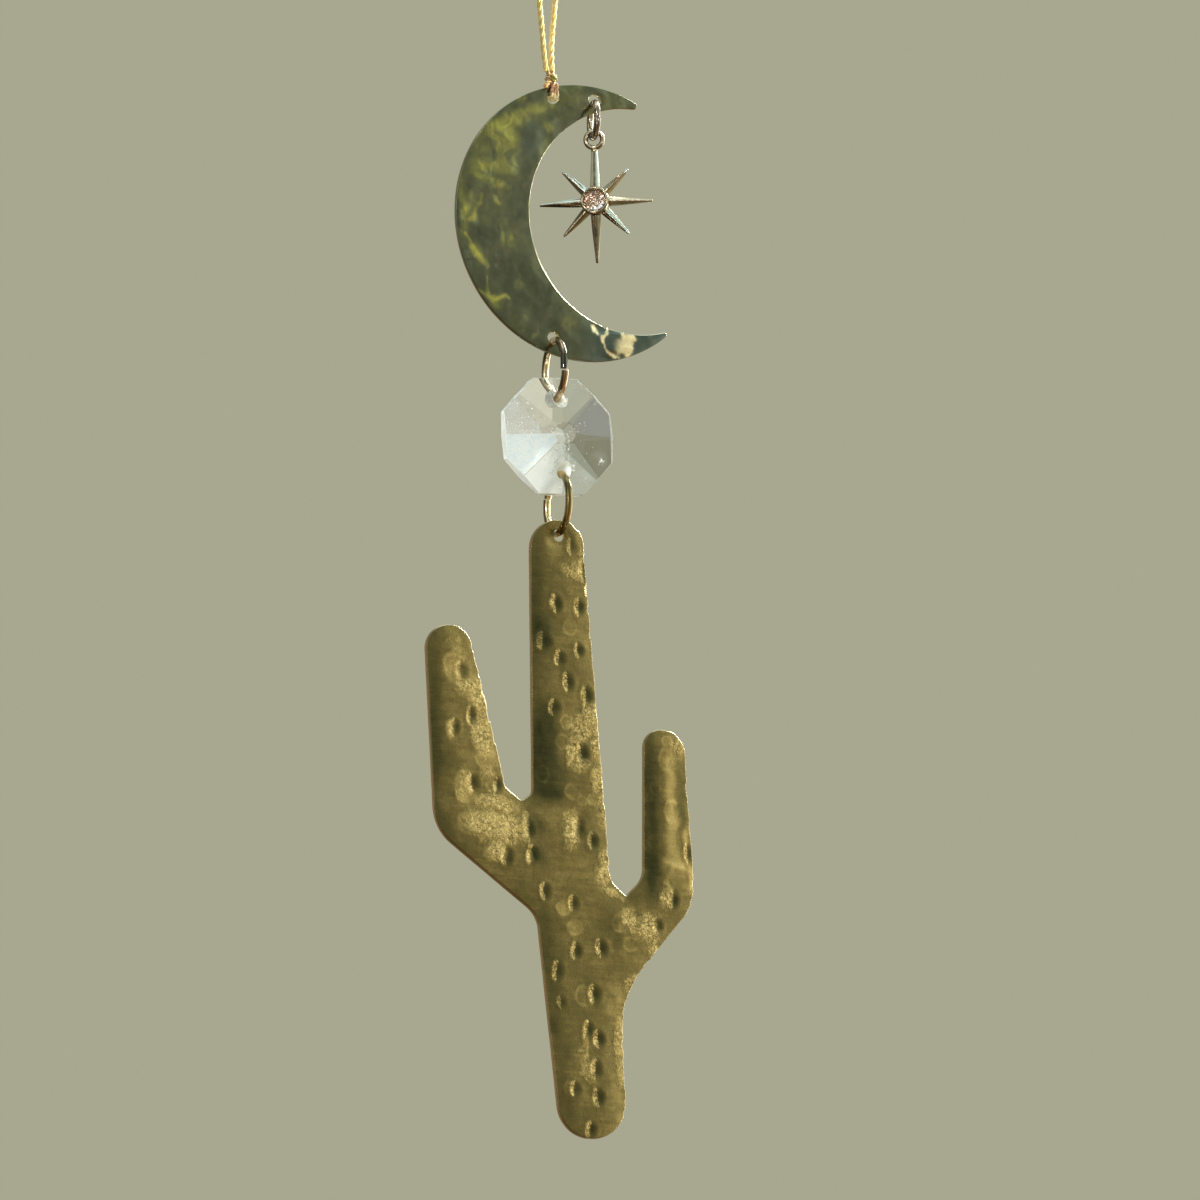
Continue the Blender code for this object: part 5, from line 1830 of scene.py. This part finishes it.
bezel_profile = [
    (0.0, BEZEL_BACK),
    (1.20, BEZEL_BACK),
    (1.48, BEZEL_BACK - 0.04),
    (1.66, BEZEL_BACK - 0.18),
    (BEZEL_R, BEZEL_BACK - 0.40),
    (BEZEL_R, -0.42),
    (1.69, -0.60),
    (1.67, -0.74),
    (1.63, -0.86),
    (1.56, -0.93),
    (1.48, -BEZEL_FRONT),
    (1.40, -0.93),
    (1.33, -0.87),
    (1.29, -0.78),
    (1.29, -0.30),
    (1.10, -0.14),
    (0.0, -0.10),
]
star = mesh_from("star_body", [lathe(bezel_profile)], smooth=False)
blades = []
for k in range(8):
    stem = k == 4
    reach = STAR_DROP - loop_r if stem else STAR_RAYS[min(k, 8 - k)]
    end = 0.42 if stem else 0.19
    tip = 0.15
    low = 1.32
    bm = bmesh.new()
    stations = []
    for i in range(12):
        t = i / 11
        z = low + (reach - (0 if stem else tip) - low) * t
        # the spikes swell a little below the middle
        w = (1 - (z - 0.45) / (reach - 0.45)) * (1 - end / STAR_RAY_HALF) + end / STAR_RAY_HALF
        w *= 1 + (0.10 * math.sin(math.pi * t) if not stem else 0.02)
        stations.append((z, STAR_RAY_HALF * w, STAR_RAY_DEEP * w, 1.0))
    if not stem:
        z, hw, hd, _ = stations[-1]
        for i in range(1, 6):
            b = math.pi / 2 * i / 5.3
            stations.append((z + tip * math.sin(b), hw * math.cos(b), hd * math.cos(b), 1.0 + 0.9 * i / 5))
    ring = []
    for z, hw, hd, power in stations:
        here = []
        corners_of = ((hw, 0.0), (0.0, hd), (-hw, 0.0), (0.0, -hd))
        for q in range(4):
            # a diamond with its corners just broken; it turns into an oval at the tip
            was, now, then = (Vector(corners_of[(q + k) % 4]) for k in (-1, 0, 1))
            e = min(0.14 if stem else 0.09, 0.35 * hw) / (now - was).length
            a, b = now.lerp(was, e), now.lerp(then, e)
            for p in (a, (a + b) / 4 + now / 2, b, now.lerp(then, 0.5)):
                angle = math.atan2(p.y / hd, p.x / hw)
                oval = Vector((hw * math.cos(angle), hd * math.sin(angle)))
                p = p.lerp(oval, (power - 1.0) / 0.9)
                here.append(bm.verts.new(Vector((p.x, p.y, z)) * MM))
        ring.append(here)
    for a, b in zip(ring, ring[1:]):
        for q in range(16):
            bm.faces.new((a[q], a[(q + 1) % 16], b[(q + 1) % 16], b[q]))
    bm.faces.new(ring[0][::-1])
    bm.faces.new(ring[-1])
    if not stem:
        lean = Matrix.Identity(4)
        lean[1][2] = STAR_SWEEP
        bm.transform(lean)
    bm.transform(Matrix.Rotation(math.radians(180.0 + 45.0 * k), 4, "Y"))
    bmesh.ops.recalc_face_normals(bm, faces=list(bm.faces))
    mesh = bpy.data.meshes.new("blade")
    bm.to_mesh(mesh)
    bm.free()
    blades.append(new_object("blade", mesh))
bm = bmesh.new()
loop_points = []
sides, rings = 16, 56
grid = []
for i in range(rings):
    a = 2 * math.pi * i / rings
    row = []
    for k in range(sides):
        b = 2 * math.pi * k / sides
        r = loop_r + loop_w * 1.10 * math.cos(b)
        row.append(
            bm.verts.new(Vector((r * math.cos(a), loop_w * 1.25 * math.sin(b), STAR_DROP + r * math.sin(a))) * MM)
        )
    grid.append(row)
for i in range(rings):
    for k in range(sides):
        bm.faces.new(
            (
                grid[i][k],
                grid[(i + 1) % rings][k],
                grid[(i + 1) % rings][(k + 1) % sides],
                grid[i][(k + 1) % sides],
            )
        )
bmesh.ops.recalc_face_normals(bm, faces=list(bm.faces))
mesh = bpy.data.meshes.new("loop")
bm.to_mesh(mesh)
bm.free()
blades.append(new_object("loop", mesh))
boolean_all(star, blades, "UNION")
bm = bmesh.new()
bm.from_mesh(star.data)
bmesh.ops.dissolve_degenerate(bm, dist=0.0004 * MM, edges=list(bm.edges))
bm.to_mesh(star.data)
bm.free()
star.data.shade_smooth()
star.data.set_sharp_from_angle(angle=math.radians(44))
weigh = star.modifiers.new("facets", "WEIGHTED_NORMAL")
weigh.keep_sharp = True
# painted light: silvery and light on what looks up and to the right, bronze and dark on what looks down and to the
# left, painted shade round the stone
# how each spike's painted light differs from that, from the right-hand one anticlockwise: its left flank, its right
# flank
SPIKE_TONE = (
    (-0.46, 0.18),
    (-0.30, -0.10),
    (0.30, 0.12),
    (0.34, 0.00),
    (0.00, -0.13),
    (0.00, -0.04),
    (-0.42, -0.02),
    (0.40, 0.04),
)
# the painted tone of each spike's ridge, a painted highlight or a dark line, in the same order
RIDGE_TONE = (0.34, 0.22, 0.02, 0.44, 0.18, 0.30, 0.06, 0.70)
tone, edges = [], []
for poly in star.data.polygons:
    c, n = poly.center / MM, poly.normal
    around = math.hypot(c.x, c.z)
    # painted light: lighter on faces turned up and to the right
    value = 0.48 + 0.60 * (0.62 * n.x + 0.78 * n.z)
    spike = round(math.degrees(math.atan2(c.z, c.x)) / 45.0) % 8
    along = Vector((math.cos(math.radians(45.0 * spike)), math.sin(math.radians(45.0 * spike))))
    left_of = along.x * n.z - along.y * n.x > 0.0
    value += SPIKE_TONE[spike][0 if left_of else 1]
    if abs(n.y) > 0.87 and around > 1.9:
        value = RIDGE_TONE[spike]
    # the stone's seat, and painted shade on the bezel round it
    if around < 1.36 and c.y < -0.2:
        value = 0.46
    elif 1.36 <= around < 1.82:
        value = 0.29 + 0.16 * (0.62 * n.x + 0.78 * n.z)
    # the loop's own painted light, lighter where it faces up and to the right
    if c.z > STAR_DROP - loop_r - 0.62:
        value = 0.36 + 0.30 * (0.62 * n.x + 0.78 * n.z)
    # painted glints: the tips of the right-hand spikes are set full bright
    if spike in (0, 1, 7) and around > (STAR_RAYS[0] if spike == 0 else STAR_RAYS[1]) - 0.35:
        value = 1.0
    tone.append(min(max(value, 0.0), 1.0))
    # the ridges and rims of the spikes are tumbled duller than their flanks
    edges.append(1.0 if around > 1.9 and c.z < STAR_DROP - loop_r - 0.62 and not 0.35 < abs(n.y) < 0.87 else 0.0)
star.data.attributes.new("edge", "FLOAT", "FACE").data.foreach_set("value", np.asarray(edges, np.float32))
star.data.attributes.new("tone", "FLOAT", "FACE").data.foreach_set("value", np.asarray(tone, np.float32))
star.matrix_world = Matrix.Translation(star_centre * MM) @ star_turn
finish_piece(star, charm_metal, "charm_metal", "star_charm")

# foil under the stone: small facets that throw the light about
foil_verts, foil_faces = [], []
rings_of = ((0.0, 1), (0.22, 7), (0.46, 12), (0.70, 17), (0.94, 22), (1.16, 26), (1.27, 28))
rng = np.random.default_rng(5)
points2, heights = [], []
for r, n in rings_of:
    for k in range(n):
        a = 2 * math.pi * (k + 0.5 * (n % 2)) / n
        points2.append(Vector((r * math.cos(a), r * math.sin(a))))
        heights.append(-0.14 - 0.30 * (r / 1.27) ** 2 + (rng.uniform(-0.15, 0.15) if 0 < r < 1.2 else 0.0))
flat = delaunay_2d_cdt(points2, [], [], 0, 1e-7, True)
foil_verts = [(p.x, heights[o[0]], p.y) for p, o in zip(flat[0], flat[3])]
foil_faces = [tuple(f) for f in flat[2]]
# a thin closed sheet: the same facets again behind, and a wall along the edge
count = len(foil_verts)
foil_verts += [(x, y + 0.03, z) for x, y, z in foil_verts]
sides = {(f[i - 1], f[i]) for f in foil_faces for i in range(3)}
foil_faces += [tuple(i + count for i in reversed(f)) for f in foil_faces]
foil_faces += [(b, a, a + count, b + count) for a, b in sorted(sides) if (b, a) not in sides]
foil = mesh_from("stone_foil", [(foil_verts, foil_faces)], smooth=False)
foil.matrix_world = Matrix.Translation(star_centre * MM) @ star_turn
finish_piece(foil, stone_foil, "stone_glass")

# the stone, a round brilliant
cut = []
for i in range(8):
    a = 2 * math.pi * i / 8
    b = a + math.pi / 8
    cut.append((0.70 * math.cos(a), -0.965, 0.70 * math.sin(a)))
    cut.append((1.00 * math.cos(b), -0.845, 1.00 * math.sin(b)))
    cut.append((0.62 * math.cos(b), -0.48, 0.62 * math.sin(b)))
for i in range(16):
    a = 2 * math.pi * i / 16
    for y in (-0.70, -0.66):
        cut.append((STONE_R * math.cos(a), y, STONE_R * math.sin(a)))
cut.append((0.0, -0.26, 0.0))
bm = hull(cut)
mesh = bpy.data.meshes.new("stone")
bm.to_mesh(mesh)
bm.free()
stone = new_object("stone_brilliant", mesh)
stone.matrix_world = Matrix.Translation(star_centre * MM) @ star_turn
finish_piece(stone, stone_glass, "stone_glass", "star_stone")

# ---------------------------------------------------------------- stage: floor, backdrop, light
CENTRE = Vector((1.0, 0.0, -76.0)) * MM


def plain(name, colour, rough=0.8, emit=0.0):
    made, t, s = shader(name)
    s.inputs["Base Color"].default_value = (*colour, 1.0)
    s.inputs["Roughness"].default_value = rough
    if emit:
        s.inputs["Emission Color"].default_value = (*colour, 1.0)
        s.inputs["Emission Strength"].default_value = emit
        s.inputs["Base Color"].default_value = (0, 0, 0, 1)
        s.inputs["Specular IOR Level"].default_value = 0.0
    return made


bpy.ops.mesh.primitive_circle_add(vertices=96, radius=1.05, fill_type="NGON", location=(0, 0, -3.86))
floor = bpy.context.object
floor.name = "floor"
floor.data.materials.append(plain("floor_pale", (0.62, 0.60, 0.52)))

bpy.ops.mesh.primitive_uv_sphere_add(segments=96, ring_count=48, radius=3.96, location=CENTRE)
dome = bpy.context.object
dome.name = "backdrop"
dome.data.shade_smooth()
dome.data.materials.append(plain("backdrop_pale", (0.392, 0.386, 0.279), emit=1.0))
dome.visible_diffuse = dome.visible_glossy = dome.visible_transmission = False
dome.visible_volume_scatter = dome.visible_shadow = False


def softbox(name, toward, distance, width, height, radiance, colour, middle=CENTRE, spread=180.0):
    """A soft light that far from the object, in that direction, turned to face it; a grid can narrow its beam."""
    data = bpy.data.lights.new(name, "AREA")
    data.shape, data.size, data.size_y = "RECTANGLE", width, height
    data.energy = radiance * math.pi * width * height
    if spread < 180.0:
        half = math.radians(spread / 2)
        data.spread = 2 * half
        data.energy *= 1 - half / math.tan(half)
    data.color = colour
    obj = bpy.data.objects.new(name, data)
    bpy.context.scene.collection.objects.link(obj)
    obj.location = middle + toward * distance
    obj.rotation_mode = "QUATERNION"
    obj.rotation_quaternion = toward.to_track_quat("Z", "Y")
    obj.visible_camera = False
    return obj


def snoot(name, toward, distance, middle, reach, irradiance, colour):
    """A lamp that lights only what is within `reach` of the middle."""
    data = bpy.data.lights.new(name, "SPOT")
    data.energy = irradiance * 4 * math.pi * distance**2
    data.spot_size, data.spot_blend = 2 * math.atan(reach / distance), 0.3
    data.shadow_soft_size = 0.03 * distance
    data.color = colour
    obj = bpy.data.objects.new(name, data)
    bpy.context.scene.collection.objects.link(obj)
    obj.location = middle + toward * distance
    obj.rotation_mode = "QUATERNION"
    obj.rotation_quaternion = toward.to_track_quat("Z", "Y")
    return obj


# behind, above and to the right: the window that lights the thread, the rims and the glass
softbox("window", direction(114.0, 36.0), 1.1, 0.41, 0.41, 40.0, (1.0, 0.97, 0.90))
# in front to the right: what the hammered faces catch
softbox("key", direction(66.0, 16.0), 1.1, 0.42, 0.70, 1.6, (1.0, 0.94, 0.82))
# in front to the left, weak
softbox("fill", direction(-62.0, 14.0), 1.2, 0.30, 0.80, 0.9, (0.93, 0.97, 1.0))
# narrow lamps: on the thread from the right, on the glass and on the star's stone from the left
snoot("thread", direction(62.0, 8.0), 0.50, Vector((0.0, 0.0, -14.2)) * MM, 0.0112, 10.5, (1.0, 0.97, 0.88))
snoot("glass", direction(-52.0, 8.0), 0.35, (glass_centre + Vector((-1.6, 0.0, -0.6))) * MM, 0.0062, 6.2, (0.88, 0.96, 1.0))
# small panels near the star, for its stone to sparkle in
for i, (azimuth, elevation, radiance) in enumerate(
    ((-18.0, 30.0, 26.0), (-62.0, 12.0, 26.0), (-44.0, -14.0, 22.0), (2.0, 4.0, 25.0), (-42.0, 44.0, 25.0))
):
    softbox(
        f"sparkle_{i}",
        direction(azimuth, elevation),
        0.060,
        0.008,
        0.008,
        radiance,
        (1.0, 0.95, 0.92),
        star_centre * MM,
        spread=30.0,
    )
# behind to the right, low: what the upright right-hand rims catch
softbox("rims", direction(109.0, 3.0), 1.1, 0.26, 0.66, 6.6, (1.0, 0.97, 0.90))
# overhead
softbox("top", direction(0.0, 84.0), 1.2, 0.9, 0.6, 0.9, (0.95, 1.0, 0.97))

world = bpy.data.worlds.new("studio")
bpy.context.scene.world = world
world.use_nodes = True
wt = world.node_tree
background = wt.nodes["Background"]
coords = node(wt, "ShaderNodeTexCoord")
split = node(wt, "ShaderNodeSeparateXYZ")
wt.links.new(coords.outputs["Generated"], split.inputs[0])
minus_y = maths(wt, "MULTIPLY", split.outputs["Y"], -1.0)
azimuth = maths(wt, "ARCTAN2", split.outputs["X"], minus_y)
share = maths(wt, "ADD", maths(wt, "DIVIDE", azimuth, 2 * math.pi), 0.5)


def at_azimuth(degrees):
    return degrees / 360.0 + 0.5


round_about = ramp(
    wt,
    [
        (at_azimuth(-180), (0.270, 0.280, 0.270)),
        (at_azimuth(-152), (0.440, 0.420, 0.340)),
        (at_azimuth(-126), (0.150, 0.150, 0.120)),
        (at_azimuth(-96), (0.080, 0.085, 0.075)),
        (at_azimuth(-72), (0.320, 0.330, 0.310)),
        (at_azimuth(-52), (0.740, 0.750, 0.700)),
        (at_azimuth(-34), (0.520, 0.520, 0.450)),
        (at_azimuth(-6), (0.240, 0.245, 0.180)),
        (at_azimuth(12), (0.290, 0.290, 0.210)),
        (at_azimuth(26), (0.400, 0.385, 0.275)),
        (at_azimuth(38), (0.720, 0.690, 0.500)),
        (at_azimuth(58), (0.950, 0.890, 0.680)),
        (at_azimuth(95), (0.560, 0.540, 0.430)),
        (at_azimuth(121), (0.420, 0.415, 0.370)),
        (at_azimuth(143), (0.500, 0.480, 0.380)),
        (at_azimuth(162), (0.400, 0.390, 0.290)),
        (at_azimuth(175), (0.265, 0.275, 0.265)),
        (at_azimuth(180), (0.270, 0.280, 0.270)),
    ],
    share,
)
height = ramp(
    wt,
    [
        (0.00, (0.50, 0.36, 0.22)),
        (0.25, (0.62, 0.50, 0.36)),
        (0.42, (0.86, 0.82, 0.72)),
        (0.50, (0.95, 0.95, 0.92)),
        (0.60, grey(1.0)),
        (0.75, (1.05, 1.12, 1.08)),
        (1.00, (0.85, 1.0, 1.0)),
    ],
    maths(wt, "ADD", maths(wt, "MULTIPLY", split.outputs["Z"], 0.5), 0.5),
)
sky = mix(wt, 1.0, round_about, height, "MULTIPLY")


def patch(colours, azimuth, elevation, reach, colour):
    """A soft round patch of that colour in that direction."""
    dot = node(wt, "ShaderNodeVectorMath", operation="DOT_PRODUCT")
    wt.links.new(coords.outputs["Generated"], dot.inputs[0])
    dot.inputs[1].default_value = direction(azimuth, elevation)
    near, far = math.cos(math.radians(reach * 0.6)), math.cos(math.radians(reach * 1.5))
    share = maths(wt, "DIVIDE", maths(wt, "SUBTRACT", dot.outputs["Value"], far), near - far, clamp=True)
    return mix(wt, share, colours, colour)


# what the facets of the octagon look at, behind it
sky = patch(sky, 174.5, 12.0, 13.0, (0.10, 0.11, 0.05))
sky = patch(sky, 174.0, 2.0, 7.0, (0.15, 0.16, 0.14))
sky = patch(sky, 163.5, 12.0, 4.5, (0.42, 0.42, 0.33))
sky = patch(sky, 121.0, 4.0, 8.0, (0.66, 0.68, 0.58))
sky = patch(sky, 162.0, -8.0, 7.0, (0.40, 0.41, 0.31))
sky = patch(sky, 143.0, -8.0, 8.0, (0.66, 0.645, 0.50))
sky = patch(sky, 162.0, 34.0, 8.0, (0.43, 0.45, 0.36))
sky = patch(sky, 132.0, 42.0, 9.0, (0.78, 0.76, 0.62))
sky = patch(sky, 154.0, 12.0, 6.0, (0.58, 0.60, 0.50))
# cool light from straight above, and a low bronze glow beside it on the left
sky = patch(sky, 0.0, 90.0, 34.0, (0.66, 0.76, 0.74))
sky = patch(sky, -114.0, 12.0, 16.0, (0.44, 0.41, 0.32))
wt.links.new(sky, background.inputs["Color"])
background.inputs["Strength"].default_value = 1.0

bpy.context.scene.view_settings.view_transform = "Standard"
bpy.context.scene.view_settings.look = "None"

bpy.context.view_layer.update()
